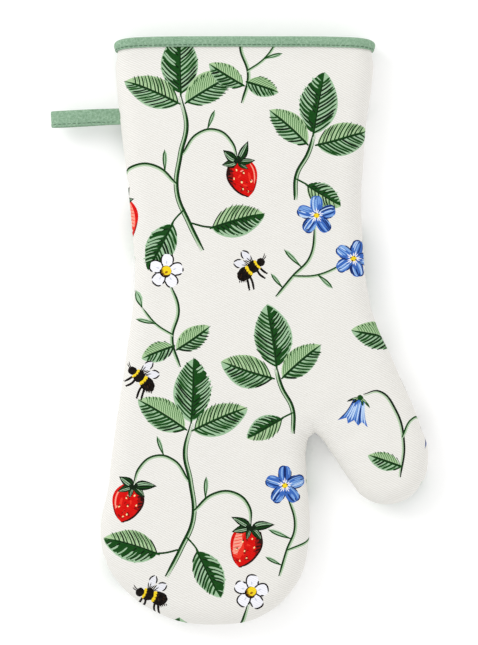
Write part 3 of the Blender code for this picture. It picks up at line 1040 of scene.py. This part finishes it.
def stem(dr, points, wide, pale=True, colour=GREEN):
    """A stem with a pale band along one side."""
    line = smooth_line(points, 1.6)
    n = left_of(unit(np.gradient(line, axis=0)))
    n *= -1 if n[:, 1].sum() < 0 else 1
    if pale:
        dr.stroke(line - n * wide * 0.72, wide * 1.1, STALK, (0.3, 0.2),
                  1.6)
        if wide > 1.25:
            dr.stroke(line - n * wide * 1.20, 0.50, colour, (0.1, 0.1), 1.6)
    dr.stroke(line, wide, colour, (0.5, 0.3), 1.6)
    if wide > 1.05:
        dr.stroke(line + n * wide * 0.24, wide * 0.40, DEEP, (0.3, 0.2), 1.6)


def bud(dr, base, tip, half=1.3):
    """A small folded leaf on a stem."""
    v, n, size = along(base, tip)
    mid = base + v * size * 0.6
    low, high = v * size * 0.1, v * size * 0.2
    dr.shape([base - n * 0.2, mid - n * half - low,
              mid - n * half * 0.9 + high, tip,
              mid + n * half * 0.9 + high,
              mid + n * half - low, base + n * 0.2], COOL)
    dr.stroke([base, mid + n * half * 0.7, tip], 0.80, GREEN, (1.0, 0.3))
    dr.stroke([base, mid - n * half * 0.4, tip - v * 0.8], 0.45, GREEN,
              (0.8, 0.1))


# ---- the print: a repeat of generic sprigs --------------------------------
class Sprig:
    """Draws in a sprig's own frame, turned, flipped and set down."""

    def __init__(self, dr, place, turn, flip):
        self.dr, self.place, self.flip = dr, place, flip
        self.rows = np.array(((cos(turn), -sin(turn)),
                              (sin(turn), cos(turn))))

    def at(self, points):
        points = np.array(points, float) * (self.flip, 1)
        return points @ self.rows.T + self.place

    def stem(self, points, *style):
        stem(self.dr, self.at(points), *style)

    def leaf(self, base, tip, half, left, right, bend=0.0):
        if self.flip < 0:
            left, right = right, left
        leaf(self.dr, self.at(base), self.at(tip), half, left, right,
             bend * self.flip)

    def bud(self, base, tip, *half):
        bud(self.dr, self.at(base), self.at(tip), *half)

    def berry(self, neck, tip, half, lit):
        strawberry(self.dr, self.at(neck), self.at(tip), half, lit)


def berry_spray(s):
    s.stem([(8, -52), (2, -36), (-3, -18), (1, 2), (6, 18), (4, 35)], 1.5)
    s.stem([(-3, -14), (-13, -3), (-25, -1), (-34, -8), (-36, -19)], 1.2)
    s.stem([(1, 2), (11, 13), (22, 14), (30, 6), (32, -4)], 1.1)
    s.stem([(2, -36), (10, -39), (16, -40)], 1.1, False)
    s.stem([(0, -28), (-6, -33), (-10, -38)], 1.0, False)
    s.leaf((4, 36), (7, 71), 10.2, "full", "barbs", 0.02)
    s.leaf((2, 31), (-26, 47), 8.4, "barbs", "open", -0.03)
    s.leaf((7, 31), (35, 44), 8.4, "fine", "barbs", 0.03)
    s.leaf((14, -40), (44, -35), 8.6, "open", "full", 0.04)
    s.leaf((-8, -36), (-24, -60), 8.0, "barbs", "full", 0.0)
    s.berry((-36, -20), (-32, -42), 9.0, True)
    s.berry((32, -5), (36, -25), 8.6, False)
    s.bud((-9, -6), (-8, 6))
    s.bud((17, 15), (22, 25), 1.2)


def daisy_sprig(s):
    s.stem([(2, -28), (4, -12), (-2, 4), (1, 20)], 1.2)
    s.stem([(3, -10), (12, -2), (18, 8)], 0.9)
    s.leaf((2, -18), (-18, -8), 6.0, "barbs", "fine", 0.03)
    s.leaf((4, -16), (22, -20), 5.4, "fine", "barbs", 0.03)
    s.bud((12, -2), (22, 2), 1.2)
    s.bud((18, 8), (20, 18), 2.0)
    daisy(s.dr, s.at((2, 26)), 9.6, 0.2)


def blue_sprig(s):
    s.stem([(-16, -24), (-6, -13), (4, -3), (8, 16)], 1.1)
    s.stem([(-6, -13), (8, -13), (26, -6)], 0.9)
    s.bud((-1, -8), (-10, 2))
    s.bud((8, -13), (16, -21))
    s.bud((-12, -19), (-18, -11), 1.1)
    blue_flower(s.dr, s.at((9, 20)), 11.0, 0.32)
    blue_flower(s.dr, s.at((28, -5)), 10.5, 1.25)


def bell_sprig(s):
    s.stem([(4, -28), (8, -10), (5, 10), (-3, 21), (-12, 20)], 1.1,
           True, DEEP)
    s.stem([(7, -6), (14, 4), (21, 3)], 0.9)
    s.leaf((5, -22), (-12, -14), 4.8, "barbs", "fine")
    bell_flower(s.dr, s.at((-14, 18)), s.at((-19, 5)), 7.4)
    bell_flower(s.dr, s.at((23, 2)), s.at((26, -11)), 6.6)


def leaf_sprig(s):
    s.stem([(-6, -36), (-7, -22), (-2, -9), (0, 2)], 1.4)
    s.stem([(-7, -24), (1, -27)], 1.0, False)
    s.leaf((0, 2), (2, 37), 10.4, "full", "barbs", 0.02)
    s.leaf((-3, -4), (-26, 12), 7.4, "barbs", "fine", -0.04)
    s.leaf((3, -4), (30, 8), 9.0, "open", "barbs", -0.04)
    s.leaf((0, -27), (20, -36), 6.4, "full", "open")


def bee_flying(s):
    bee(s.dr, s.at((7, 5)), s.at((-8, -4)), 3.6)


REPEAT_SIZE = (196.0, 326.0)
REPEAT = [  # sprig, place, turn, flip
    (berry_spray, (-32, 96), 0.10, 1),
    (leaf_sprig, (42, 108), -0.12, 1),
    (blue_sprig, (36, 44), 0.05, 1),
    (bee_flying, (8, 34), 0.1, 1),
    (daisy_sprig, (-34, 8), 0.15, -1),
    (leaf_sprig, (22, -22), 0.10, -1),
    (bell_sprig, (84, -54), 0.10, 1),
    (leaf_sprig, (92, -2), 0.35, 1),
    (berry_spray, (-26, -86), -0.12, -1),
    (bee_flying, (-54, -27), -0.2, -1),
    (blue_sprig, (27, -108), 0.45, 1),
    (daisy_sprig, (3, -171), -0.1, 1),
    (bee_flying, (-48, -148), 0.2, -1),
    (daisy_sprig, (92, 122), -0.2, 1),
    (bell_sprig, (98, 64), 0.2, 1),
]


PRINT_SEED = 3
REACH_MID, REACH = (30, 0), (185, 235)     # sprigs past this miss the cloth


def draw_print(shift):
    """The whole print with its repeat shifted, as the front panel has it."""
    dr = Drawing()
    for up in (-1, 0, 1):
        for over in (-1, 0, 1):
            move = np.array((over, up)) * REPEAT_SIZE + shift
            for k, (sprig, place, turn, flip) in enumerate(REPEAT):
                place = move + place
                if (abs(place - REACH_MID) < REACH).all():
                    dr.rng = np.random.RandomState(PRINT_SEED + k)
                    sprig(Sprig(dr, place, turn, flip))
    return dr


def within(dr, top, move):
    """Shapes moved with move() that touch the cloth, and their inks."""
    rings = [anticlockwise(move(ring)) for ring in dr.rings]
    ends = np.cumsum([len(r) for r in rings])
    hit = np.split(inside(np.concatenate(rings), top), ends[:-1])
    kept = [k for k, h in enumerate(hit) if h.any()]
    return [rings[k] for k in kept], [dr.inks[k] for k in kept]


# ---- materials ------------------------------------------------------------
def linear(r, g, b):
    return ink(r, g, b)[:3]


class Shader:
    """A node material built up from short calls."""

    def __init__(self, name):
        self.m = bpy.data.materials.new(name)
        self.m.use_nodes = True
        self.tree = self.m.node_tree
        self.bsdf = self.tree.nodes["Principled BSDF"]

    def add(self, kind, inputs=(), **settings):
        node = self.tree.nodes.new("ShaderNode" + kind)
        for key, value in settings.items():
            setattr(node, key, value)
        for key, value in dict(inputs).items():
            self.put(node.inputs[key], value)
        return node

    def put(self, socket, value):
        if isinstance(value, bpy.types.NodeSocket):
            self.tree.links.new(value, socket)
        elif isinstance(value, bpy.types.Node):
            self.tree.links.new(value.outputs[0], socket)
        else:
            socket.default_value = value

    def maths(self, how, a, b=0.0, c=0.0):
        return self.add("Math", {0: a, 1: b, 2: c}, operation=how).outputs[0]

    def cloth_place(self, turn=0.0):
        """Coordinates on the cloth in millimetres, turned by an angle."""
        uv = self.add("UVMap", uv_map="fabric")
        return self.add("Mapping", {
            "Vector": uv.outputs[0], "Scale": (100, 100, 100),
            "Rotation": (0, 0, turn)}).outputs[0]

    def noise(self, where, scale, detail=2.0, rough=0.5):
        return self.add("TexNoise", {"Vector": where, "Scale": scale,
                                     "Detail": detail, "Roughness": rough},
                        noise_dimensions="3D").outputs[0]

    def ramp(self, value, low, high, to_low=0.0, to_high=1.0):
        return self.add("MapRange", {
            "Value": value, "From Min": low, "From Max": high,
            "To Min": to_low, "To Max": to_high}).outputs[0]

    def mix(self, share, a, b):
        node = self.add("Mix", data_type="RGBA")
        self.put(node.inputs[0], share)
        for key, value in ((6, a), (7, b)):
            if isinstance(value, tuple) and len(value) == 3:
                value = (*value, 1.0)
            self.put(node.inputs[key], value)
        return node.outputs[2]

    def ridges(self, where, period, wander=0.0):
        """Soft parallel ridges, 0 to 1, across the first coordinate."""
        x = self.add("SeparateXYZ", {0: where}).outputs[0]
        if wander:
            drift = self.noise(where, 0.35, 2.0)
            x = self.maths("ADD", x, self.maths("MULTIPLY", drift, wander))
        wave = self.maths("SINE", self.maths("MULTIPLY", x,
                                             2 * pi / period))
        return self.maths("MULTIPLY_ADD", wave, 0.5, 0.5)

    def bump(self, height, distance):
        return self.add("Bump", {"Height": height, "Distance": distance,
                                 "Strength": 1.0}).outputs[0]

    def surface(self, colour, rough, sheen, specular=None, normal=None):
        """Sets the cloth's shader and returns its material."""
        for key, value in (("Base Color", colour), ("Roughness", rough),
                           ("Sheen Weight", sheen), ("Normal", normal),
                           ("Specular IOR Level", specular)):
            if value is not None:
                self.put(self.bsdf.inputs[key], value)
        return self.m

    def weave(self, period, diagonal):
        """Height of a woven surface, with uneven yarns."""
        flat = self.cloth_place()
        along = self.ridges(self.cloth_place(pi / 2), period, 0.5)
        if diagonal:
            rib = self.ridges(self.cloth_place(radians(-63)), diagonal, 0.5)
            body = self.maths("MULTIPLY_ADD", along, 0.35,
                              self.maths("MULTIPLY", rib, 0.65))
        else:
            body = self.maths("MAXIMUM", along,
                              self.ridges(flat, period, 0.5))
        fuzz = self.noise(flat, 5.0, 3.0, 0.6)
        return self.maths("MULTIPLY_ADD", fuzz, 0.45, body), flat


def printed_cotton():
    s = Shader("printed_cotton")
    height, flat = s.weave(0.56, 1.16)
    rib = s.ramp(height, 0.2, 1.2)
    slub = s.noise(s.add("Mapping", {
        "Vector": flat, "Scale": (0.12, 2.2, 1.0)}).outputs[0], 1.0, 2.0)
    cloud = s.noise(flat, 0.03, 2.0)
    # painted shade: the cream is darker where the weave lies low, in its grooves, and
    # lighter on its ridges
    cream = s.mix(rib, linear(208, 206, 201), linear(244, 243, 239))
    cream = s.mix(s.ramp(slub, 0.35, 0.7, 0.0, 0.35), cream,
                  linear(218, 215, 208))
    cream = s.mix(s.ramp(cloud, 0.3, 0.7, 0.0, 0.25), cream,
                  linear(230, 228, 221))
    tint = s.add("Attribute", attribute_name="ink",
                 attribute_type="GEOMETRY")
    wash = s.noise(flat, 0.55, 3.0, 0.6)
    dye_and_groove_shade = s.mix(s.ramp(wash, 0.40, 0.75, 0.0, 0.012), tint.outputs["Color"],
                linear(235, 240, 215))
    # painted shade: the ink is darkened toward black where the weave lies low, in its
    # grooves
    dye_and_groove_shade = s.mix(s.ramp(rib, 0.0, 0.5, 0.25, 0.0), dye_and_groove_shade, (0.0, 0.0, 0.0))
    grain = s.ramp(s.noise(flat, 2.4, 2.0, 0.7), 0.28, 0.44, 0.982, 1.0)
    share = s.maths("MULTIPLY", tint.outputs["Alpha"], grain)
    return s.surface(s.mix(share, cream, dye_and_groove_shade), 0.86, 0.02, 0.08,
                     s.bump(height, 0.00009))


def plain_cloth(name, dark, mid, period, distance, sheen=0.1, mottle=0.0):
    """Plain woven cloth in two close tones; the dark one, laid in the weave's grooves, is
    painted shade.
    """
    s = Shader(name)
    height, flat = s.weave(period, 0.0)
    rib = s.ramp(height, 0.3, 1.3)
    cloud = s.noise(flat, 0.08, 3.0)
    # painted shade: the dark tone fills the weave's grooves and the mid tone its ridges;
    # the clouds and flecks after it are random tone
    tone = s.mix(rib, dark, mid)
    tone = s.mix(s.ramp(cloud, 0.3, 0.75, 0.0, 0.25), tone, dark)
    fleck = s.noise(flat, 0.75, 3.0, 0.75)
    tone = s.mix(s.ramp(fleck, 0.36, 0.66, 0.0, mottle), tone, dark)
    return s.surface(tone, 0.88, sheen, 0.2, s.bump(height, distance))


def sewing_thread(name, dark, mid):
    """Twisted thread: fine slanting plies along the stitch."""
    s = Shader(name)
    ply = s.ridges(s.cloth_place(radians(38)), 0.34)
    # painted shade: the dark tone lies in the grooves between the plies, the mid tone on
    # them
    return s.surface(s.mix(ply, dark, mid), 0.6, 0.2,
                     normal=s.bump(ply, 0.00005))


def batting():
    """Loose white fibres."""
    s = Shader("wadding")
    place = s.add("Mapping", {
        "Vector": s.cloth_place(), "Scale": (0.5, 2.5, 1.0)}).outputs[0]
    fibre = s.noise(place, 1.6, 5.0, 0.75)
    # painted shade: the wadding is darker where the fibre noise that makes its bump lies
    # low
    tone = s.mix(s.ramp(fibre, 0.35, 0.65), linear(222, 221, 214),
                 linear(247, 247, 243))
    return s.surface(tone, 1.0, 0.3, normal=s.bump(fibre, 0.0004))


COTTON = printed_cotton()
LINING = plain_cloth("lining_cotton", linear(214, 210, 199),
                     linear(238, 235, 226), 0.55, 0.00008)
TAPE = plain_cloth("binding_tape", linear(96, 134, 104),
                   linear(184, 214, 187), 0.62, 0.00009, 0.04, 0.70)
DARK_THREAD = sewing_thread("green_thread", linear(28, 58, 40),
                            linear(62, 102, 76))
PALE_THREAD = sewing_thread("cream_thread", linear(206, 200, 184),
                            linear(238, 234, 222))
BATTING = batting()

# ---- cloth pieces ---------------------------------------------------------
CLOTH_TOP = 163.3
LEAN = 0.12                # the finger crease runs slightly uphill
THUMB_WAY = (0.678, -0.735)    # the way the thumb points
CREASE = (CROTCH[0] + SHIFT_X, CROTCH[1], MID_Z)
FINGER_ZONE = (CREASE, (CREASE[0] - 32 * LEAN, CREASE[1] - 31.8, MID_Z))
THUMB_ZONE = (CREASE, (CREASE[0] + 26 * THUMB_WAY[0],
                       CREASE[1] + 26 * THUMB_WAY[1], MID_Z))
LOOP_ZONE = ((-67.5, 120.4, MID_Z), (-75.0, 120.4, MID_Z))


def bend(piece, zone, a, b):
    start, end = (tuple(v * MM for v in p) for p in zone)
    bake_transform(piece)
    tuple(start)
    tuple(end)


def finish_piece(piece, material, slot, nodes):
    piece.data.materials.append(material)
    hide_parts(*nodes)
    return piece


PARTS = {"hand": (("palm", "fingers"), FINGER_ZONE, "fingers"),
         "thumb": (("thumb",), THUMB_ZONE, "thumb")}
LAYERS = [  # name, CAD name, outer and inner face (loose, bound), material
    ("print", "outer", (0.0, 1.7), (0.8, 2.5), COTTON, "printed_cotton"),
    ("batting", "wadding", (1.1, 2.8), (4.5, 4.0), BATTING, "wadding"),
    ("liner", "lining", (4.8, 4.3), (5.6, 5.1), LINING, "lining_cotton"),
]
# where the repeat falls on each side, and the side it is seen from
PRINTS = {1: ((0.0, 0.0), lambda r: r),
          -1: ((REPEAT_SIZE[0] / 2, 240.0), lambda r: (16, 0) + r * (-1, 1))}


def flat_size(piece, faces):
    """Width, length and area (m, m2) of the cloth laid flat."""
    uv = np.empty(2 * len(piece.data.loops), np.float32)
    piece.data.uv_layers["fabric"].data.foreach_get("uv", uv)
    p = uv.reshape(-1, 3, 2)[:faces].astype(float) / 10
    a, b = p[:, 1] - p[:, 0], p[:, 2] - p[:, 0]
    area = abs(a[:, 0] * b[:, 1] - a[:, 1] * b[:, 0]).sum() / 2
    width, length = np.ptp(p.reshape(-1, 2), axis=0)
    return float(width), float(length), float(area)


PLAIN = triangulate(CLOTH_TOP, [])
pieces, flats = {}, {}
for side, side_name in ((1, "front"), (-1, "back")):
    shift, turn_over = PRINTS[side]
    shapes, inks = within(draw_print(shift), CLOTH_TOP, turn_over)
    printed = triangulate(CLOTH_TOP, shapes)
    inks = np.array(inks + [(1.0, 1.0, 1.0, 0.0)])
    for layer, cad_name, outer, inner, material, slot in LAYERS:
        q, tris, thumb, shape = printed if layer == "print" else PLAIN
        for part, (bodies, zone, moving) in PARTS.items():
            mine = thumb == (part == "thumb")
            name = f"{layer}_{side_name}_{part}"
            colours = inks[shape[mine]] if layer == "print" else None
            ob = cloth_object(name, q, tris[mine], side, (outer, inner),
                              colours)
            flats[name] = flat_size(ob, int(mine.sum()))
            finish_piece(ob, material, slot,
                         [f"{cad_name}_{side_name}_{b}" for b in bodies])
            bend(ob, zone, "palm", moving)
            pieces[name] = ob


# ---- swept pieces ---------------------------------------------------------
TIP_SIZE = 0.35            # a cord's ends, as a share of its radius


class Sweep:
    """Collects tubes and ribbons into one mesh with a UV map."""

    def __init__(self):
        self.verts, self.faces, self.uv = [], [], []
        self.count = 0

    def grid(self, rows, closed_u=False, closed_v=False, place=None):
        """rows[i][j] are points; place[i][j] their spot on the cloth (mm)."""
        rows = np.asarray(rows, float)
        n, m = rows.shape[:2]
        if place is None:
            u, v = (np.concatenate([[0], np.cumsum(np.linalg.norm(
                np.diff(rows, axis=k), axis=2).mean(1 - k))])
                for k in (0, 1))
            place = crossed(u, v)
        # one more row and column of spots, for a grid closed on itself
        place = np.concatenate([place, place[-1:] + place[1, 0]
                                - place[0, 0]])
        place = np.concatenate([place, place[:, -1:] + place[0, 1]
                                - place[0, 0]], axis=1)
        i, j = (k.ravel() for k in np.meshgrid(
            np.arange(n if closed_u else n - 1),
            np.arange(m if closed_v else m - 1), indexing="ij"))
        corners = ((i, j), (i, j + 1), (i + 1, j + 1), (i + 1, j))
        self.faces.extend(np.stack([self.count + a % n * m + b % m
                                    for a, b in corners], axis=1).tolist())
        self.uv.extend(np.stack([place[c] / 100 for c in corners],
                                axis=1).reshape(-1, 2))
        self.verts.append(rows.reshape(-1, 3))
        self.count += n * m

    def cap(self, ring, flip):
        ring = np.asarray(ring, float)
        face = list(range(self.count, self.count + len(ring)))
        self.faces.append(face[::-1] if flip else face)
        self.uv.extend(np.zeros((len(ring), 2)))
        self.verts.append(ring)
        self.count += len(ring)

    def tube(self, path, radius, sides=6):
        """A round cord along a path; its ends close to a point."""
        t = unit(np.gradient(path, axis=0))
        up = np.where(abs(t[:, 2:]) > 0.9, (1.0, 0, 0), (0, 0, 1.0))
        n = unit(np.cross(up, t))
        b = np.cross(t, n)
        size = np.full((len(path), 1, 1), radius)
        size[[0, -1]] = radius * TIP_SIZE
        a = np.arange(sides)[None, :, None] * 2 * pi / sides
        rows = path[:, None] + size * (n[:, None] * np.cos(a)
                                       + b[:, None] * np.sin(a))
        self.grid(rows, closed_v=True)
        self.cap(rows[0], True)
        self.cap(rows[-1], False)

    def build(self, name):
        return new_object(name, np.concatenate(self.verts), self.faces,
                          self.uv)


# ---- seam threads, inside the mitt ----------------------------------------
SEAM_STEP, THREAD_R = 1.6, 0.12


def seam_path(low, high, loose, bound):
    """Points on the seam between two runs along the outline."""
    at = np.arange(low, high, SEAM_STEP)
    q = np.stack([np.interp(at, EDGE_RUN, EDGE[:, k]) for k in (0, 1)],
                 axis=1)
    return Plan(q, 1).at(squeeze(q, loose, bound))


def run_at(y, half):
    """Run along the outline where one half of it passes a height."""
    order = np.argsort(EDGE[half, 1])
    return np.interp(y, EDGE[half, 1][order], EDGE_RUN[half][order])


def nearest_run(point):
    return EDGE_RUN[np.linalg.norm(EDGE - point, axis=1).argmin()]


AT_CROTCH = nearest_run(CROTCH)
AT_THUMB_TOP = nearest_run(THUMB_LINE[-1])
LEFT_END = run_at(CLOTH_TOP, slice(0, 200))
RIGHT_END = run_at(CLOTH_TOP, slice(-200, None))
SEAM_RUNS = {"hand": ((LEFT_END, AT_CROTCH), (AT_THUMB_TOP + 0.3, RIGHT_END)),
             "thumb": ((AT_CROTCH + 0.3, AT_THUMB_TOP),)}
SEAM_NODES = {"hand": ("palm_left", "palm_crotch", "palm_right", "fingers"),
              "thumb": ("thumb",)}
for name, loose, bound in (("outer_seam_thread", 0.95, 2.65),
                           ("lining_seam_thread", 4.65, 4.15)):
    for part, (_, zone, moving) in PARTS.items():
        sweep = Sweep()
        for low, high in SEAM_RUNS[part]:
            sweep.tube(seam_path(low, high, loose, bound), THREAD_R)
        ob = sweep.build(f"{name}s_{part}")
        finish_piece(ob, PALE_THREAD, "cream_thread",
                     [f"{name}_{node}" for node in SEAM_NODES[part]])
        bend(ob, zone, "palm", moving)

# ---- cuff binding ---------------------------------------------------------
TAPE_SECTION = [  # height, depth under the outer face; closed round the edge
    (158.90, 1.42), (158.66, 1.20), (158.60, 0.95), (158.73, 0.66),
    (159.15, 0.42), (159.66, 0.50), (160.12, 0.28), (161.01, -0.06),
    (162.20, -0.20), (163.21, -0.02), (164.01, 0.55), (164.52, 1.60),
    (164.65, 3.20), (164.48, 4.80), (163.97, 5.80), (163.13, 6.32),
    (161.86, 6.48), (160.59, 6.38), (159.66, 6.00), (159.07, 6.02),
    (158.77, 5.85), (158.68, 5.50), (158.98, 5.26), (161.18, 5.26),
    (163.13, 5.22), (163.76, 4.60), (163.89, 3.30), (163.72, 2.20),
    (163.04, 1.60), (161.18, 1.46),
]
STITCH_STEP = 2.75
STITCH_Y = 159.65
STITCH_R, LOOP_STITCH_R = 0.19, 0.17
PINCH, PINCH_OVER = 0.10, 1.2      # how the stitches draw the tape in
WAVE, WAVE_STEP = 0.10, 12         # how the tape's edge strays, every so far
MOUTH_INNER = 132          # points along each flat stretch of the mouth
EDGE_STEPS = (0.0, 0.15, 0.45, 0.9, 1.5, 2.3, 3.3, 4.6, 6.2, 8.0, 10.0, 12.5)


def mouth_points(y):
    """Plan points and sides once round the mouth at a height."""
    left, right = cuff_sides(y)
    steps = np.array(EDGE_STEPS)
    x = np.concatenate([left + steps,
                        np.linspace(left + 14, right - 14, MOUTH_INNER),
                        right - steps[::-1]])
    front = level(x, y)
    q = np.concatenate([front, front[::-1][1:-1]])
    side = np.concatenate([np.ones(len(x)), -np.ones(len(x) - 2)])
    return q, side


def mouth_run(y=STITCH_Y):
    """Length run round the mouth at each of its points."""
    p = Plan(*mouth_points(y)).at(0.4)
    return run_along(np.concatenate([p, p[:1]]))


MOUTH = mouth_run()


def pinch(run):
    """1 where a stitch goes through the tape, 0 between."""
    return np.exp(-((run / STITCH_STEP % 1.0 - 0.5) / 0.17) ** 2)


tape = Sweep()
rng = np.random.RandomState(4)
wavy = np.interp(np.arange(len(MOUTH) - 1),
                 np.arange(0, len(MOUTH) + WAVE_STEP, WAVE_STEP),
                 rng.uniform(-1, 1, len(MOUTH) // WAVE_STEP + 2))
rows = []
for y, depth in TAPE_SECTION:
    q, side = mouth_points(y)
    near = np.exp(-((y - STITCH_Y) / PINCH_OVER) ** 2)
    q[:, 1] += WAVE * wavy * (1 if y < 160 else 0.3)
    d = depth + PINCH * near * pinch(MOUTH[:-1]) * (1 if depth < 3 else -1)
    rows.append(Plan(q, side).at(d))
tape.grid(rows, closed_u=True, closed_v=True,
          place=crossed(run_along(np.array(TAPE_SECTION)),
                        MOUTH[:-1])[..., ::-1])
binding = tape.build("cuff_binding_tape")
finish_piece(binding, TAPE, "binding_tape", ["cuff_binding"])
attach(binding, "palm")


def stitch_row(name, y, depth, out, node):
    """A row of short stitches round the mouth, lying on the tape."""
    q, side = mouth_points(y)
    sweep = Sweep()
    index = np.arange(len(MOUTH))
    ring = np.concatenate([q, q[:1]])
    rise = np.sin(np.linspace(0, pi, 7)) ** 0.5
    for k in range(int(MOUTH[-1] / STITCH_STEP)):
        start = (k + 0.5) * STITCH_STEP + rng.uniform(-0.1, 0.1)
        at = start + np.linspace(0.12, STITCH_STEP - 0.40, 7)
        where = np.interp(at % MOUTH[-1], MOUTH, index)
        low = np.floor(where).astype(int) % len(q)
        part = (where - np.floor(where))[:, None]
        p = ring[low] * (1 - part) + ring[low + 1] * part
        p[:, 1] += rng.uniform(-0.06, 0.06) + np.linspace(-0.05, 0.05, 7)
        d = depth - out * (0.30 * rise - 0.20)
        sweep.tube(Plan(p, side[low]).at(d), STITCH_R)
    ob = sweep.build(name)
    finish_piece(ob, DARK_THREAD, "green_thread", [node])
    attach(ob, "palm")


stitch_row("binding_stitches_outside", STITCH_Y, 0.50, 1,
           "binding_stitch_outside")
stitch_row("binding_stitches_inside", STITCH_Y, 6.00, -1,
           "binding_stitch_inside")

# ---- hanging loop ---------------------------------------------------------
LOOP_Y, LOOP_WIDE = 120.4, 8.7
LOOP_ROOT, LOOP_END = -66.4, -105.26
TILT = radians(2.5)
LOOP_PATH = [  # share of the length, height above the middle plane
    (0.00, 0.60), (0.06, 0.62), (0.12, 0.80), (0.24, 1.75), (0.42, 3.10),
    (0.62, 3.95), (0.80, 4.05), (0.925, 3.30), (0.985, 1.80), (1.0, 0.0),
]
LOOP_SECTION = [  # across the tape (share of half width), height (share)
    (-1.00, 0.10), (-1.04, 0.45), (-1.00, 0.85), (-0.93, 1.00),
    (-0.72, 0.86), (-0.40, 0.98), (0.20, 1.00), (0.75, 1.02),
    (0.95, 0.92), (1.03, 0.55), (1.04, 0.0), (1.03, -0.55),
    (0.95, -0.92), (0.75, -1.02), (0.20, -1.00), (-0.40, -0.98),
    (-0.72, -0.86), (-0.93, -1.00), (-1.00, -0.85), (-1.04, -0.45),
    (-1.00, -0.10), (-0.93, 0.00),
]
LOOP_THICK = 0.52          # half thickness of the folded tape


def loop_line():
    """The loop's path in the X, Z plane, from root round to root."""
    half = np.array(LOOP_PATH)
    whole = np.concatenate([half, (half * (1, -1))[::-1][1:]])
    line = np.stack([LOOP_ROOT + (LOOP_END + LOOP_THICK - LOOP_ROOT)
                     * whole[:, 0], whole[:, 1]], axis=1)
    return smooth_line(line, 0.9)


LOOP_LINE = loop_line()
LOOP_OUT = -left_of(unit(np.gradient(LOOP_LINE, axis=0)))
LOOP_RUN = run_along(LOOP_LINE)
LOOP_WAVE = 0.10           # how far the tape strays from straight


def loop_points(index, across, out):
    """Points off the loop's path: across the tape and off its face."""
    p = LOOP_LINE[index] + LOOP_OUT[index] * np.asarray(out)[..., None]
    x = p[:, 0] - LOOP_ROOT
    y = across + LOOP_WAVE * np.sin(LOOP_LINE[index][:, 0] / 7.0)
    return np.stack([LOOP_ROOT + x * cos(TILT) - y * sin(TILT),
                     LOOP_Y + x * sin(TILT) + y * cos(TILT),
                     p[:, 1] + MID_Z], axis=1)


loop = Sweep()
steps = np.arange(len(LOOP_LINE))
section = np.array(LOOP_SECTION) * (LOOP_WIDE / 2, LOOP_THICK)
rows = np.array([loop_points(steps, a, h) for a, h in section])
loop.grid(rows[:, ::-1], closed_u=True,
          place=crossed(run_along(section), LOOP_RUN[::-1])[..., ::-1])
loop.cap(rows[:, 0], True)
loop.cap(rows[:, -1], False)
loop_tape = loop.build("hanging_loop_tape")
finish_piece(loop_tape, TAPE, "binding_tape", ["hanging_loop"])
bend(loop_tape, LOOP_ZONE, "palm", "loop")

stitches = Sweep()
for sign in (1, -1):
    for at in np.arange(3.0, LOOP_RUN[-1] - 5, STITCH_STEP):
        where = np.linspace(at, at + 2.1, 6)
        index = np.interp(where, LOOP_RUN, steps).round().astype(int)
        rise = np.sin(np.linspace(0, pi, 6)) ** 0.5
        low = loop_points(index, -3.05,
                          sign * (LOOP_THICK * 0.86 + 0.26 * rise - 0.18))
        for axis, k in ((0, 0), (2, 1)):
            low[:, axis] += (np.interp(where, LOOP_RUN, LOOP_LINE[:, k])
                             - LOOP_LINE[index, k])
        stitches.tube(low, LOOP_STITCH_R)
loop_stitches = stitches.build("loop_stitches")
finish_piece(loop_stitches, DARK_THREAD, "green_thread", ["loop_stitch"])
bend(loop_stitches, LOOP_ZONE, "palm", "loop")

# ---- the print and liner pieces' names, not used --------------------------
for side_name in ("front", "back"):
    for part in PARTS:
        for layer in ("print", "liner"):
            name = f"{layer}_{side_name}_{part}"

# ---- floor, light and camera ----------------------------------------------
FLOOR = 4000.0
corners = [(-FLOOR, -FLOOR, 0), (FLOOR, -FLOOR, 0), (FLOOR, FLOOR, 0),
           (-FLOOR, FLOOR, 0)]
floor = new_object("floor", corners, [(0, 1, 2, 3)])
paper = Shader("floor")
paper.put(paper.bsdf.inputs["Emission Color"], (1.0, 1.0, 1.0, 1.0))
paper.put(paper.bsdf.inputs["Emission Strength"], 0.08)
floor.data.materials.append(
    paper.surface((0.96, 0.96, 0.96, 1.0), 0.9, 0.0, 0.1))
floor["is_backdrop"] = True


def area_light(name, place, size, power, colour):
    """A square light that looks at the mitt."""
    data = bpy.data.lights.new(name, "AREA")
    data.shape = "SQUARE"
    data.size = size
    data.energy = power
    data.color = colour
    ob = add_object(name, data)
    ob.location = place
    ob.rotation_euler = Vector(place).to_track_quat("Z", "Y").to_euler()


area_light("key", (-1.05, 0.75, 1.05), 0.9, 7.5, (1.0, 0.995, 0.985))
area_light("fill", (1.5, -0.5, 0.55), 1.0, 1.6, (1.0, 0.93, 0.88))

world = bpy.data.worlds.new("studio")
world.use_nodes = True
sky = world.node_tree.nodes["Background"]
sky.inputs["Color"].default_value = (1.0, 1.0, 1.0, 1.0)
sky.inputs["Strength"].default_value = 0.97
bpy.context.scene.world = world
bpy.context.scene.view_settings.view_transform = "Standard"

VIEW_TALL = 0.362          # metres of table seen from top to bottom
FAR = 1.8                  # the camera's height
SENSOR = 24.0
camera = bpy.data.cameras.new("camera")
camera.sensor_fit = "VERTICAL"
camera.sensor_height = SENSOR
camera.lens = SENSOR * (FAR - MID_Z * MM) / VIEW_TALL
eye = add_object("camera", camera)
eye.location = (0.24 * MM, 4.8 * MM, FAR)
bpy.context.scene.camera = eye

low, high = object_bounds()
({"cad": [list(v) for v in CAD_BOX],
           "visual": [list(low), list(high)]})
